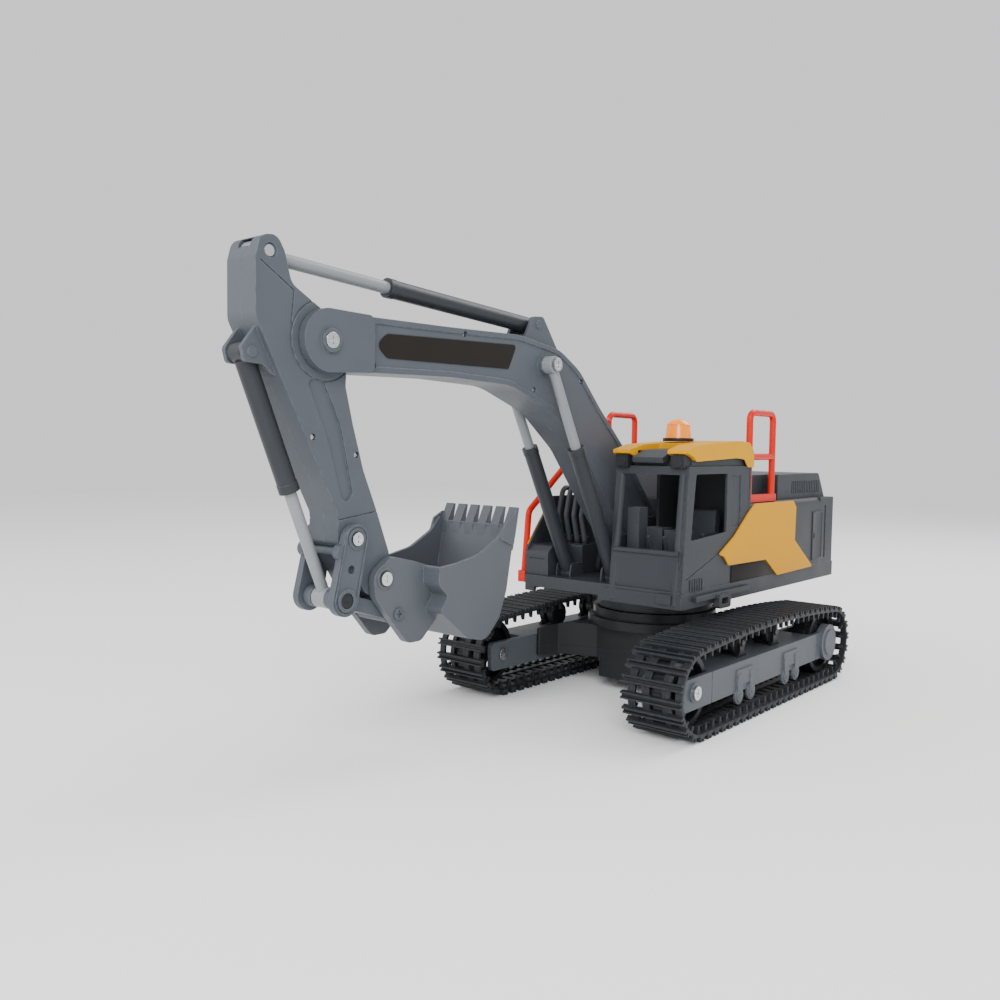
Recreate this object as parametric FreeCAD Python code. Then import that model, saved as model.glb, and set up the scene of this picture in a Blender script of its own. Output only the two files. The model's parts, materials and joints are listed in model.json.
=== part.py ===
import FreeCAD, Part
import math
import os

# Toy excavator on two tracks. The script models it in a machine frame: the slew axis is X = 0, Y = 0, the
# ground is Z = 0, +X points forward to the bucket, +Y is the operator's left (the cab side), +Z is up.
# Lengths are millimetres. Every shape is moved along X by FRAME_SHIFT as it is written, so that the whole
# object's box is centred on the origin.

V = FreeCAD.Vector

# ---- driving dimensions ----
ARM_FRONT_X = 383.3          # foremost point of the arm, at the ears of the bucket cylinder
HOUSE_REAR_X = -199.0        # back of the counterweight
FRAME_SHIFT = -(ARM_FRONT_X + HOUSE_REAR_X) / 2

GAP = 0.4                    # free space between two moving bodies
PIN_CLEAR = 0.05             # radial running clearance of a pin in its bore
WALL = 2.2                   # wall of the moulded shells

# tracks
TRACK_Y = 84.0               # centre plane of a belt
BELT_WIDTH = 45.0
AXLE_X = 111.5               # idler in front, sprocket at the back
AXLE_Z = 31.0
BELT_MID_R = 27.2            # middle of the band on the end wheels
BAND_HALF = 1.0              # half the band's thickness
GROUSER_TIP = 3.8            # grouser height above the middle of the band
BELT_HUMP = 5.0              # rise of the top run over the carriers
LINK_COUNT = 62
STRAPS = ((-18.5, -13.0), (-7.5, -2.2), (7.2, 10.8), (17.0, 22.0))
LUGS = ((-18.0, -15.6), (17.2, 19.6))
LUG_DEPTH = 6.0
TOOTH_COUNT = 17
WHEEL_Y = 86.5               # centre plane of the wheels, under the middle windows
BEAM_Y = (67.0, 95.0)        # inner face and joint face of the beam
COVER_Y = 98.5               # outer face of the beam cover
BEAM_Z = (19.0, 40.4)
FORK_X = 84.0                # the beam's closed box ends here
CHASSIS_SEAM_Z = 31.0
CHASSIS_TOP_Z = 50.0
RING_R = 49.0
RING_TOP_Z = 64.0

# house
HOUSE_FRONT_X = 82.0
HOUSE_Y = 71.0
SKIRT_Z = 77.5
DECK_Z = 90.0
BODY_TOP_Z = 149.0
BODY_FRONT_X = -22.0
SPLIT_X = -160.0             # joint between engine body and counterweight
CAB_Y = (10.2, 71.0)
CAB_ROOF_Z = 178.0

# arm, drawn in the vertical plane Y = ARM_Y
ARM_Y = -18.0
BOOM_HALF = 14.6
STICK_HALF = 12.5
BOOM_FOOT = (10.0, 125.0)
STICK_PIVOT = (334.0, 245.4)
STICK_HEAD = (368.0, 287.8)
ARM_CYL_BASE = (145.8, 274.4)
BOOM_CYL_TOP = (145.8, 246.3)
BOOM_CYL_BASE = (64.0, 92.5)
BOOM_CYL_SIDE = 21.0         # distance of each boom cylinder from the arm plane
BUCKET_CYL_TOP = (376.5, 236.6)
ROCKER_PIVOT = (314.9, 138.1)
ROCKER_END = (322.5, 104.5)
ROCKER_TUBE = (324.0, 131.2)
BUCKET_PIVOT = (294.0, 114.0)
BUCKET_LINK_PIN = (283.7, 92.4)


# ---- drawing helpers ----
def box(x, y, z):
    """Block between two X, two Y and two Z values."""
    return Part.makeBox(x[1] - x[0], y[1] - y[0], z[1] - z[0], V(x[0], y[0], z[0]))


def rounded_outline(points, radius, place):
    """Closed face through 2-D points, each corner rounded by radius or by the point's own third value."""
    count = len(points)
    flat = [V(p[0], p[1], 0) for p in points]
    corners = []
    for i, point in enumerate(points):
        here, before, after = flat[i], flat[i - 1], flat[(i + 1) % count]
        r = point[2] if len(point) > 2 else radius
        to_before = (before - here).normalize()
        to_after = (after - here).normalize()
        half = to_before.getAngle(to_after) / 2
        if r <= 0 or abs(half - math.pi / 2) < 0.01:
            corners.append((here, None, here))
            continue
        room = min((before - here).Length, (after - here).Length) * 0.49
        reach = min(r / math.tan(half), room)
        r = reach * math.tan(half)
        inward = (to_before + to_after).normalize()
        centre = here + inward * (r / math.sin(half))
        corners.append((here + to_before * reach, centre - inward * r, here + to_after * reach))
    edges = []
    for i, (start, middle, end) in enumerate(corners):
        if middle is not None:
            edges.append(Part.Arc(place(start), place(middle), place(end)).toShape())
        following = corners[(i + 1) % count][0]
        if (following - end).Length > 1e-6:
            edges.append(Part.makeLine(place(end), place(following)))
    return Part.Face(Part.Wire(edges))


def prism_y(points, y, radius=0.0):
    """Outline in X and Z, drawn out along Y from y[0] to y[1]."""
    face = rounded_outline(points, radius, lambda p: V(p.x, y[0], p.y))
    return face.extrude(V(0, y[1] - y[0], 0))


def prism_x(points, x, radius=0.0):
    """Outline in Y and Z, drawn out along X."""
    face = rounded_outline(points, radius, lambda p: V(x[0], p.x, p.y))
    return face.extrude(V(x[1] - x[0], 0, 0))


def prism_z(points, z, radius=0.0):
    """Outline in X and Y, drawn out along Z."""
    face = rounded_outline(points, radius, lambda p: V(p.x, p.y, z[0]))
    return face.extrude(V(0, 0, z[1] - z[0]))


def disc_y(at, y, radius):
    """Cylinder along Y at a point given in X and Z."""
    return Part.makeCylinder(radius, y[1] - y[0], V(at[0], y[0], at[1]), V(0, 1, 0))


def disc_z(at, z, radius):
    """Cylinder along Z at a point given in X and Y."""
    return Part.makeCylinder(radius, z[1] - z[0], V(at[0], at[1], z[0]), V(0, 0, 1))


def rod(start, end, radius):
    """Cylinder between two points."""
    line = V(*end) - V(*start)
    return Part.makeCylinder(radius, line.Length, V(*start), line)


def fuse(shapes):
    """One shape from several that touch or overlap."""
    whole = shapes[0].multiFuse(shapes[1:]) if len(shapes) > 1 else shapes[0]
    return whole.removeSplitter()


def cut(shape, tools):
    """Shape with the tools taken out."""
    return shape.cut(tools)


def arm(y):
    """Y values measured from the arm's plane."""
    return (ARM_Y + y[0], ARM_Y + y[1])


def mirror_y(shape):
    """The same shape on the other side of the machine."""
    return shape.mirror(V(0, 0, 0), V(0, 1, 0))


def pipe(points, radius, bend):
    """Round bar along straight runs joined by tangent arcs."""
    path = []
    spots = [V(*p) for p in points]
    last = spots[0]
    for i in range(1, len(spots) - 1):
        here = spots[i]
        back = (spots[i - 1] - here).normalize()
        on = (spots[i + 1] - here).normalize()
        half = back.getAngle(on) / 2
        reach = bend / math.tan(half)
        inward = (back + on).normalize()
        centre = here + inward * (bend / math.sin(half))
        start, end = here + back * reach, here + on * reach
        path.append(Part.makeLine(last, start))
        path.append(Part.Arc(start, centre - inward * bend, end).toShape())
        last = end
    path.append(Part.makeLine(last, spots[-1]))
    ring = Part.Wire([Part.makeCircle(radius, spots[0], spots[1] - spots[0])])
    return Part.Wire(path).makePipeShell([ring], True, False)


# ---- undercarriage ----
def belt_point(s):
    """Place on the belt's middle line at arc length s: X, Z and the outward direction's angle."""
    drop = (AXLE_X ** 2 - BELT_HUMP ** 2) / (2 * BELT_HUMP)
    big_r = BELT_MID_R + BELT_HUMP + drop
    lean = math.atan2(drop, AXLE_X)
    bottom = 2 * AXLE_X
    end = BELT_MID_R * (lean + math.pi / 2)
    top = big_r * (math.pi - 2 * lean)
    total = bottom + 2 * end + top
    s = s % total
    if s < bottom:
        return s - AXLE_X, AXLE_Z - BELT_MID_R, -math.pi / 2, total
    s -= bottom
    if s < end:
        angle = -math.pi / 2 + s / BELT_MID_R
        return AXLE_X + BELT_MID_R * math.cos(angle), AXLE_Z + BELT_MID_R * math.sin(angle), angle, total
    s -= end
    if s < top:
        angle = lean + s / big_r
        return big_r * math.cos(angle), AXLE_Z - drop + big_r * math.sin(angle), angle, total
    angle = math.pi - lean + (s - top) / BELT_MID_R
    return -AXLE_X + BELT_MID_R * math.cos(angle), AXLE_Z + BELT_MID_R * math.sin(angle), angle, total


def belt_loop(offset, y):
    """Solid filling the belt's loop out to a distance from its middle line."""
    drop = (AXLE_X ** 2 - BELT_HUMP ** 2) / (2 * BELT_HUMP)
    big_r = BELT_MID_R + BELT_HUMP + drop + offset
    lean = math.atan2(drop, AXLE_X)
    r = BELT_MID_R + offset

    def on(x, z, radius, angle):
        return V(x + radius * math.cos(angle), y[0], z + radius * math.sin(angle))

    front = [on(AXLE_X, AXLE_Z, r, a) for a in (-math.pi / 2, (lean - math.pi / 2) / 2, lean)]
    over = on(0, AXLE_Z - drop, big_r, math.pi / 2)
    back = [V(-p.x, p.y, p.z) for p in reversed(front)]
    edges = [Part.Arc(*front).toShape(), Part.Arc(front[2], over, back[0]).toShape(),
             Part.Arc(*back).toShape(), Part.makeLine(back[2], front[0])]
    return Part.Face(Part.Wire(edges)).extrude(V(0, y[1] - y[0], 0))


def link_prism(profile, y, s):
    """Outline in run and height on the belt, drawn out along Y and set at arc length s."""
    x, z, angle, _ = belt_point(s)
    along, out = (-math.sin(angle), math.cos(angle)), (math.cos(angle), math.sin(angle))
    points = [(x + t * along[0] + n * out[0], z + t * along[1] + n * out[1]) for t, n in profile]
    return prism_y(points, y)


def track_belt():
    straps = []
    for low, high in STRAPS:
        y = (TRACK_Y + low, TRACK_Y + high)
        straps.append(belt_loop(BAND_HALF, y).cut(belt_loop(-BAND_HALF, y)))
    bar = [(-2.6, -0.2), (2.6, -0.2), (2.6, 3.2), (2.2, GROUSER_TIP), (1.3, GROUSER_TIP), (0.9, 1.7),
           (-0.9, 1.7), (-1.3, GROUSER_TIP), (-2.2, GROUSER_TIP), (-2.6, 3.2)]
    lug = [(-1.6, -0.5), (1.6, -0.5), (0.6, -LUG_DEPTH), (-0.6, -LUG_DEPTH)]
    total = belt_point(0)[3]
    half = BELT_WIDTH / 2
    bars = []
    for i in range(LINK_COUNT):
        s = (i + 0.5) * total / LINK_COUNT
        bars.append(link_prism(bar, (TRACK_Y - half, TRACK_Y + half), s))
        for low, high in LUGS:
            bars.append(link_prism(lug, (TRACK_Y + low, TRACK_Y + high), s))
    return straps[0].multiFuse(straps[1:] + bars)


def track_wheel(spokes):
    """Toothed wheel with spokes or a plain web, and a stub shaft at each side."""
    y0, y1 = WHEEL_Y - 7.5, WHEEL_Y + 7.5
    rim_r = BELT_MID_R - BAND_HALF - 0.6
    wheel = disc_y((0, 0), (y0, y1), rim_r).cut(disc_y((0, 0), (y0 - 1, y1 + 1), rim_r - 4))
    web = disc_y((0, 0), (WHEEL_Y - 1.5, WHEEL_Y + 1.5), rim_r - 3)
    for i in range(spokes):
        angle = 2 * math.pi * i / spokes
        web = web.cut(disc_y((14 * math.cos(angle), 14 * math.sin(angle)), (y0, y1), 4.2))
    parts = [wheel, web, disc_y((0, 0), (BEAM_Y[0] + 4.6, BEAM_Y[1] - 0.6), 6.5)]
    tip = BELT_MID_R - 0.5
    tooth = [(rim_r - 2, -3.0), (rim_r, -2.6), (tip - 0.4, -1.5), (tip - 0.1, 0), (tip - 0.4, 1.5),
             (rim_r, 2.6), (rim_r - 2, 3.0)]
    for i in range(TOOTH_COUNT):
        block = prism_y(tooth, (WHEEL_Y - 3.2, WHEEL_Y + 3.2))
        block.rotate(V(0, 0, 0), V(0, 1, 0), 360 * i / TOOTH_COUNT)
        parts.append(block)
    return fuse(parts)


def idler():
    wheel = track_wheel(6).cut(disc_y((0, 0), (60, 110), 3.0 + PIN_CLEAR))
    wheel.translate(V(AXLE_X, 0, AXLE_Z))
    return wheel


def sprocket():
    wheel = track_wheel(5).fuse(disc_y((0, 0), (BEAM_Y[0] + 0.5, COVER_Y - 1.0), 3.0)).removeSplitter()
    wheel.translate(V(-AXLE_X, 0, AXLE_Z))
    return wheel


def idler_axle():
    at = (AXLE_X, AXLE_Z)
    head = disc_y(at, (COVER_Y + 1.5, COVER_Y + 3.5), 4.6)
    bolt = fuse([disc_y(at, (BEAM_Y[0] - 1.5, COVER_Y + 2), 3.0), head,
                 disc_y(at, (BEAM_Y[0] - 2.5, BEAM_Y[0]), 4.6)])
    slots = [box((AXLE_X - 2.6, AXLE_X + 2.6), (COVER_Y + 2.7, COVER_Y + 4), (AXLE_Z - 0.5, AXLE_Z + 0.5)),
             box((AXLE_X - 0.5, AXLE_X + 0.5), (COVER_Y + 2.7, COVER_Y + 4), (AXLE_Z - 2.6, AXLE_Z + 2.6))]
    return bolt.cut(slots)


def track_beam():
    """Inner half of a beam: an open channel with a fork plate at each end."""
    z0, z1 = BEAM_Z
    channel = box((-FORK_X, FORK_X), BEAM_Y, BEAM_Z)
    hollow = box((-FORK_X + WALL, FORK_X - WALL), (BEAM_Y[0] + WALL, BEAM_Y[1] + 1), (z0 + WALL, z1 - WALL))
    plate = prism_y([(-AXLE_X - 12, z0), (AXLE_X + 12, z0), (AXLE_X + 12, z1), (-AXLE_X - 12, z1)],
                    (BEAM_Y[0], BEAM_Y[0] + 4), 3.5)
    beam = fuse([channel, plate]).cut(hollow)
    ends = [disc_y((side * AXLE_X, AXLE_Z), (60, 110), 3.0 + (PIN_CLEAR if side < 0 else 0)) for side in (-1, 1)]
    return beam.cut(ends)


def bogie(x):
    """Moulded relief of a twin-roller bogie on the cover's face."""
    y = (COVER_Y - 0.5, COVER_Y + 1.2)
    low = 16.5
    frame = prism_y([(x - 13, 24), (x + 13, 24), (x + 13, 35), (x - 13, 35)], y, 1.5)
    parts = [frame]
    for side in (-1, 1):
        at = (x + side * 9.5, low)
        parts += [disc_y(at, y, 6.2), disc_y(at, (y[0], COVER_Y + 2.0), 4.2), disc_y(at, (y[0], COVER_Y + 2.6), 1.6)]
        parts.append(prism_y([(at[0] - 3, 18), (at[0] + 3, 18), (at[0] + 3, 32), (at[0] - 3, 32)],
                             (y[0], COVER_Y + 1.8), 1.0))
    return parts


def beam_cover():
    z0, z1 = BEAM_Z
    plate = prism_y([(-AXLE_X - 4, z0), (AXLE_X + 14, z0), (AXLE_X + 14, z1), (-AXLE_X - 4, z1)],
                    (BEAM_Y[1], COVER_Y), 3.0)
    hub = (-AXLE_X, AXLE_Z)
    parts = [plate, disc_y(hub, (BEAM_Y[1], COVER_Y + 3.0), 15.0), disc_y(hub, (COVER_Y, COVER_Y + 4.2), 10.5),
             disc_y((AXLE_X, AXLE_Z), (COVER_Y - 0.5, COVER_Y + 1.5), 6.4)]
    for x in (38.0, -40.0):
        parts += bogie(x)
    cover = fuse(parts)
    seams = [box((x - 0.5, x + 0.5), (COVER_Y - 0.7, COVER_Y + 1), (z0 - 1, z1 + 1)) for x in (86.0, -92.0)]
    bores = [disc_y((AXLE_X, AXLE_Z), (90, 110), 3.0), disc_y(hub, (90, COVER_Y - 0.5), 3.0 + PIN_CLEAR)]
    return cover.cut(seams + bores)


def carrier_bracket(x):
    """Upright with two splayed feet on the beam and a grooved round head under the belt."""
    top = BEAM_Z[1]
    post = prism_y([(x - 7, top), (x - 3.2, top + 4), (x - 4.2, 59), (x + 4.2, 59), (x + 3.2, top + 4),
                    (x + 7, top)], (88.5, 91.5))
    head = fuse([disc_y((x, 50.5), (75, 80), 9.6), disc_y((x, 50.5), (80, 84), 7.4),
                 disc_y((x, 50.5), (84, 88.5), 9.6)])
    stand = box((x - 4, x + 4), (77, 87), (top, 46))
    return fuse([post, head, stand, disc_y((x, 50.5), (91.5, 92.7), 2.8)])


def drive_motor():
    """Gear motor lying in the beam behind the sprocket."""
    can = rod((-30, 81, 29.7), (-52, 81, 29.7), 8.0)
    gearbox = box((-80, -52), (71, 91), (21.5, 38))
    return fuse([can, gearbox, rod((-28, 81, 29.7), (-30, 81, 29.7), 3.0)])


def chassis_plan():
    half = [(43, 26), (54, 56), (76, BEAM_Y[0]), (44, BEAM_Y[0]), (28, 50)]
    right = half + [(-x, y) for x, y in reversed(half)]
    return right + [(x, -y) for x, y in reversed(right)]


def chassis_upper():
    plan = prism_z(chassis_plan(), (CHASSIS_SEAM_Z, CHASSIS_TOP_Z), 2.0)
    roofline = prism_x([(-BEAM_Y[0], 30), (BEAM_Y[0], 30), (BEAM_Y[0], 45), (50, CHASSIS_TOP_Z),
                        (-50, CHASSIS_TOP_Z), (-BEAM_Y[0], 45)], (-90, 90))
    shell = plan.common(roofline)
    hollow = [box((-32, 32), (-44, 44), (CHASSIS_SEAM_Z - 1, CHASSIS_TOP_Z - WALL))]
    return shell.cut(hollow)


def chassis_lower():
    arms = prism_z(chassis_plan(), (24.0, CHASSIS_SEAM_Z), 2.0)
    tub = prism_z([(43, 25), (43, -25), (-43, -25), (-43, 25)], (9.0, CHASSIS_SEAM_Z), 3.0)
    hollow = box((-40.5, 40.5), (-22.5, 22.5), (11.2, CHASSIS_SEAM_Z + 1))
    return fuse([arms, tub]).cut(hollow)


def slew_ring_base():
    ring = fuse([disc_z((0, 0), (CHASSIS_TOP_Z, 57), RING_R + 4), disc_z((0, 0), (57, RING_TOP_Z), RING_R)])
    return ring.cut(disc_z((0, 0), (40, 70), 22.0 + PIN_CLEAR))


def cross_screw(at, direction, head_r, length):
    """Pan-head screw with a cross slot; at is the seat of the head."""
    seat, way = V(*at), V(*direction).normalize()
    head = Part.makeCylinder(head_r, 1.4, seat, way)
    shank = Part.makeCylinder(head_r * 0.5, length, seat - way * length, way)
    side = way.cross(V(0.3, 0.5, 0.8)).normalize()
    screw = head.fuse(shank)
    for across in (side, way.cross(side)):
        slot = Part.makeCylinder(head_r * 0.16, head_r * 1.3, seat + way * 1.35 - across * head_r * 0.65, across)
        screw = screw.cut(slot)
    return screw


def chassis_screws():
    under = [cross_screw((x, y, 9.0), (0, 0, -1), 2.6, 2.0) for x in (-34, 34) for y in (-18, 18)]
    return Part.makeCompound(under)


# ---- house ----
def deck():
    """Floor tray with a skirt, the slew spigot below and the boom's foot brackets in the well."""
    plan = [(HOUSE_FRONT_X, -HOUSE_Y), (HOUSE_FRONT_X, HOUSE_Y), (HOUSE_REAR_X + 4, HOUSE_Y),
            (HOUSE_REAR_X + 4, -HOUSE_Y)]
    tray = prism_z(plan, (SKIRT_Z, DECK_Z), 4.0)
    hollow = prism_z([(x - math.copysign(3, x), y - math.copysign(3, y)) for x, y in plan],
                     (SKIRT_Z - 1, DECK_Z - 3), 3.0)
    notch = box((HOUSE_FRONT_X - 4, HOUSE_FRONT_X + 1), (-60, 1), (SKIRT_Z - 1, 81))
    spigot = [disc_z((0, 0), (RING_TOP_Z + 0.3, DECK_Z - 1), 46.0), disc_z((0, 0), (54, 70), 22.0)]
    tray = tray.cut([hollow, notch])
    cheeks = []
    for side in (-1, 1):
        y = (side * (BOOM_HALF + 0.5), side * (BOOM_HALF + 3.7))
        x, z = BOOM_FOOT
        cheeks.append(prism_y([(x - 24, DECK_Z - 1), (x + 24, DECK_Z - 1), (x + 11, z + 11), (x - 11, z + 11)],
                              arm((min(y), max(y))), 6.0))
        x, z = BOOM_CYL_BASE
        for inner in (BOOM_CYL_SIDE - 7.2, BOOM_CYL_SIDE + 5.9):
            y = sorted((side * inner, side * (inner + 1.3)))
            cheeks.append(prism_y([(x - 11, DECK_Z - 2), (x + 9, DECK_Z - 2), (x + 7, z + 8), (x - 7, z + 8)],
                                  arm(y), 3.0))
    bores = [disc_y(BOOM_FOOT, (-60, 30), 4.0)]
    wells = [box((BOOM_CYL_BASE[0] - 10, BOOM_CYL_BASE[0] + 9),
                 arm(sorted((side * (BOOM_CYL_SIDE - 5.9), side * (BOOM_CYL_SIDE + 5.9)))), (82, DECK_Z + 1))
             for side in (-1, 1)]
    floor = tray.cut(wells)
    return fuse([floor] + spigot + cheeks).cut(bores + [disc_z((0, 0), (50, 95), 9.0)])


def house_pins():
    """Boom foot pin, and the short studs that hold the eyes of the boom cylinders between them."""
    pins = [disc_y(BOOM_FOOT, arm((-BOOM_HALF - 3.7, BOOM_HALF + 3.7)), 4.0)]
    for side in (-1, 1):
        for inner, outer in ((BOOM_CYL_SIDE - 5.9, BOOM_CYL_SIDE - 4.6), (BOOM_CYL_SIDE + 4.6, BOOM_CYL_SIDE + 5.9)):
            pins.append(disc_y(BOOM_CYL_BASE, arm(sorted((side * inner, side * outer))), 2.5))
    return Part.makeCompound(pins)


def engine_body():
    """Engine housing behind the cab and the well, open below."""
    side = [(BODY_FRONT_X, DECK_Z), (BODY_FRONT_X, BODY_TOP_Z), (SPLIT_X, BODY_TOP_Z), (SPLIT_X, DECK_Z)]
    outer = prism_x([(-HOUSE_Y, DECK_Z), (HOUSE_Y, DECK_Z), (HOUSE_Y, BODY_TOP_Z, 5), (-HOUSE_Y, BODY_TOP_Z, 5)],
                    (SPLIT_X, BODY_FRONT_X))
    hollow = prism_y([(x - math.copysign(WALL, x + 90), z - (WALL if z > DECK_Z else 1)) for x, z in side],
                     (-HOUSE_Y + WALL, HOUSE_Y - WALL), 2.0)
    vent = box((BODY_FRONT_X - 3, BODY_FRONT_X + 1), arm((-12, 12)), (96, 122))
    return outer.cut([hollow, vent])


def counterweight():
    """Rear casting, rounded at its corners, with a vertical groove at each side and a recessed back."""
    plan = [(SPLIT_X, -HOUSE_Y, 0), (SPLIT_X, HOUSE_Y, 0), (HOUSE_REAR_X + 6, HOUSE_Y, 6),
            (HOUSE_REAR_X, HOUSE_Y - 22, 20), (HOUSE_REAR_X, -HOUSE_Y + 22, 20), (HOUSE_REAR_X + 6, -HOUSE_Y, 6)]
    block = prism_z(plan, (DECK_Z, BODY_TOP_Z))
    crown = prism_y([(SPLIT_X, 80, 0), (SPLIT_X, BODY_TOP_Z, 0), (HOUSE_REAR_X, BODY_TOP_Z, 9),
                     (HOUSE_REAR_X, 80, 0)], (-80, 80))
    block = block.common(crown)
    hollow = box((SPLIT_X - 28, SPLIT_X + 1), (-HOUSE_Y + 4, HOUSE_Y - 4), (DECK_Z - 1, BODY_TOP_Z - 3))
    grooves = [box((SPLIT_X - 13, SPLIT_X - 10), sorted((side * (HOUSE_Y - 1), side * (HOUSE_Y + 1))),
                   (DECK_Z + 5, BODY_TOP_Z - 7)) for side in (-1, 1)]
    return block.cut([hollow] + grooves)


def engine_hood():
    """Raised hood over the engine, open below, with louvre slots at both sides."""
    side = [(-34, BODY_TOP_Z, 0), (-38, 169.5, 4), (-176, 170.5, 5), (-190, BODY_TOP_Z, 0)]
    hood = prism_y(side, (-62, 62))
    inner = prism_y([(-38, BODY_TOP_Z - 1), (-41, 167), (-174, 168), (-186, BODY_TOP_Z - 1)], (-60, 60))
    slots = []
    for i in range(16):
        x = -118.0 - 3.8 * i
        for y in ((-63, -59), (59, 63)):
            slots.append(box((x - 1.9, x), y, (153, 164)))
    step = [box((-92, -30), y, (BODY_TOP_Z - 1, 175)) for y in ((-63, -50), (50, 63))]
    inside = box((-90, -60), (-48, 48), (BODY_TOP_Z - 1, 150))
    closing = [box((-94, -90), (-62, 62), (BODY_TOP_Z, 169)), box((-92, -38), (48, 50), (BODY_TOP_Z, 169)),
               box((-92, -38), (-50, -48), (BODY_TOP_Z, 169))]
    return fuse([hood.cut([inner] + step)] + closing).cut(slots + [inside])


def side_panel():
    """Yellow panel, 1.4 proud of the left side of the housing."""
    points = [(-28, 148.5), (-99, 148.5), (-105, 143), (-104, 115), (-143, 89.5), (-71, 88.5), (-49, 103),
              (15, 104), (22, 111), (30, 113), (6, 125), (-17, 142)]
    return prism_y(points, (HOUSE_Y, HOUSE_Y + 1.4), 1.0)


def side_panel_right():
    """Yellow panel of the right side, with no cab beside it, so that it runs forward and down as a sloped guard."""
    points = [(46, 150.2), (-24, 150.2), (-28, 148.5), (-99, 148.5), (-105, 143), (-104, 115), (-143, 89.5),
              (-71, 88.5), (-49, 103), (15, 104), (58, 106), (76, 113)]
    return prism_y(points, (-HOUSE_Y - 1.4, -HOUSE_Y), 1.0)


def tank_block():
    """Stepped box in front of the housing at the right: tool box in front, wider hose shelf and tank behind."""
    inner_front, inner_back, step_x = -48.8, -37.0, 50.0
    right = -HOUSE_Y
    front = prism_y([(step_x - 1, DECK_Z, 0), (79, DECK_Z, 0), (79, 108, 4), (73, 113, 2), (step_x - 1, 113, 0)],
                    (right, inner_front))
    back = prism_y([(BODY_FRONT_X, DECK_Z, 0), (step_x, DECK_Z, 0), (step_x, 113, 1.5), (18, 113, 2), (12, 143, 4),
                    (BODY_FRONT_X, 146, 0)], (right, inner_back))
    hollow = [box((step_x - 6, 79 - WALL), (right + WALL, inner_front - WALL), (DECK_Z - 1, 106)),
              prism_y([(BODY_FRONT_X + WALL, DECK_Z - 1), (step_x - WALL, DECK_Z - 1), (step_x - WALL, 110.8),
                       (16.5, 110.8), (10.5, 140), (BODY_FRONT_X + WALL, 143)], (right + WALL, inner_back - WALL))]
    grooves = [box((-8, -6), (right - 1, right + 0.8), (94, 138)),
               box((30, 74), (right - 1, right + 0.8), (104, 105)),
               box((78.2, 80), (right + 4, inner_front - 4), (102.5, 103.3))]
    guard = prism_y([(BODY_FRONT_X, 100, 0), (78.6, 100, 0), (78.6, 110.6, 1), (46, 150.8, 1),
                     (BODY_FRONT_X, 150.8, 0)], (right, right + 1.8))
    return fuse([front, back]).cut(hollow + grooves).fuse(guard)


def cab_side(y):
    """One side wall of the cab with its door window."""
    wall = prism_y([(HOUSE_FRONT_X - 1, DECK_Z), (HOUSE_FRONT_X - 8, CAB_ROOF_Z), (BODY_FRONT_X + 0.3, CAB_ROOF_Z),
                    (BODY_FRONT_X + 0.3, DECK_Z)], y)
    window = prism_y([(70, 125.5), (64, 172.5), (17, 172.5), (17, 129)], (y[0] - 1, y[1] + 1), 1.5)
    return wall.cut(window)


def cab_shell():
    """Cab: floor sill, two sides with window openings, open front with round pillars, closed back."""
    y0, y1 = CAB_Y
    front = HOUSE_FRONT_X
    sill = box((front - 3, front + 0.6), (y0 - 4.6, y1), (78, DECK_Z - 2.4))
    left = cab_side((y1 - WALL, y1 - 0.3))
    right = cab_side((y0, y0 + WALL))
    back = box((BODY_FRONT_X + 0.3, BODY_FRONT_X + 2.5), CAB_Y, (DECK_Z, CAB_ROOF_Z))
    apron = box((front - 4, front - 1.6), (y0 + 3, y1 - 4), (DECK_Z - 2, 116))
    rail = prism_y([(front - 4.6, 115), (front, 115), (front, 118.5), (front - 4.6, 118.5)], (y0 + 3, y1 - 4), 1.2)
    beam = box((front - 14, front - 8), CAB_Y, (172, CAB_ROOF_Z))
    top = [box((BODY_FRONT_X + 0.3, front - 8), (y1 - 6, y1 - 0.3), (174, CAB_ROOF_Z)),
           box((BODY_FRONT_X + 0.3, front - 8), (y0, y0 + 6), (174, CAB_ROOF_Z))]
    pillars = [rod((front - 1.6, y, 80), (front - 11, y, 175), 3.1) for y in (y0 + 3.1, y1 - 6.2)]
    posts = [prism_y([(front, 79), (front - 9, 176), (front - 14, 176), (front - 6, 79)], y)
             for y in ((y1 - 3.4, y1 - 0.3), (y0, y0 + 2.4))]
    floor = box((BODY_FRONT_X + 0.3, front - 3), (y0, y1 - 0.3), (DECK_Z, DECK_Z + 2))
    cab = fuse([sill, left, right, back, apron, rail, beam, floor] + top + pillars + posts)
    groove = prism_y([(76, 98.6), (33.5, 112.6), (-18, 129.6), (-18, 128.6), (33.5, 111.6), (76, 97.6)],
                     (y1 - 0.9, y1 + 1))
    return cab.cut([groove, box((-5, 10), (y1 - 0.9, y1 + 1), (132, 171))])


def cab_roof():
    """Yellow cap: domed top, side skirts, and two lobes that reach forward over the lamps."""
    y0, y1 = CAB_Y[0] - 0.8, CAB_Y[1] + 0.8
    profile = [(78, 189.5, 1), (60, 193.5, 12), (0, 197, 25), (-16, 196, 6), (-24, 188.5, 2), (-24, 177, 1),
               (-14, 177, 2), (-8, 183, 5), (5, 184, 3), (66, 181.5, 2), (70, 184.5, 1), (78, 187, 1)]
    cap = prism_y(profile, (y0, y1))
    hollow = box((-22, 67), (y0 + 0.8, y1 - 0.8), (170, 189))
    notch = prism_z([(40, 26), (90, 22), (90, 56), (40, 52)], (170, 200), 3.0)
    return cap.cut([hollow, notch]).cut(box((-22, 90), (y0 + 0.8, y1 - 0.8), (170, CAB_ROOF_Z)))


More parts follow.
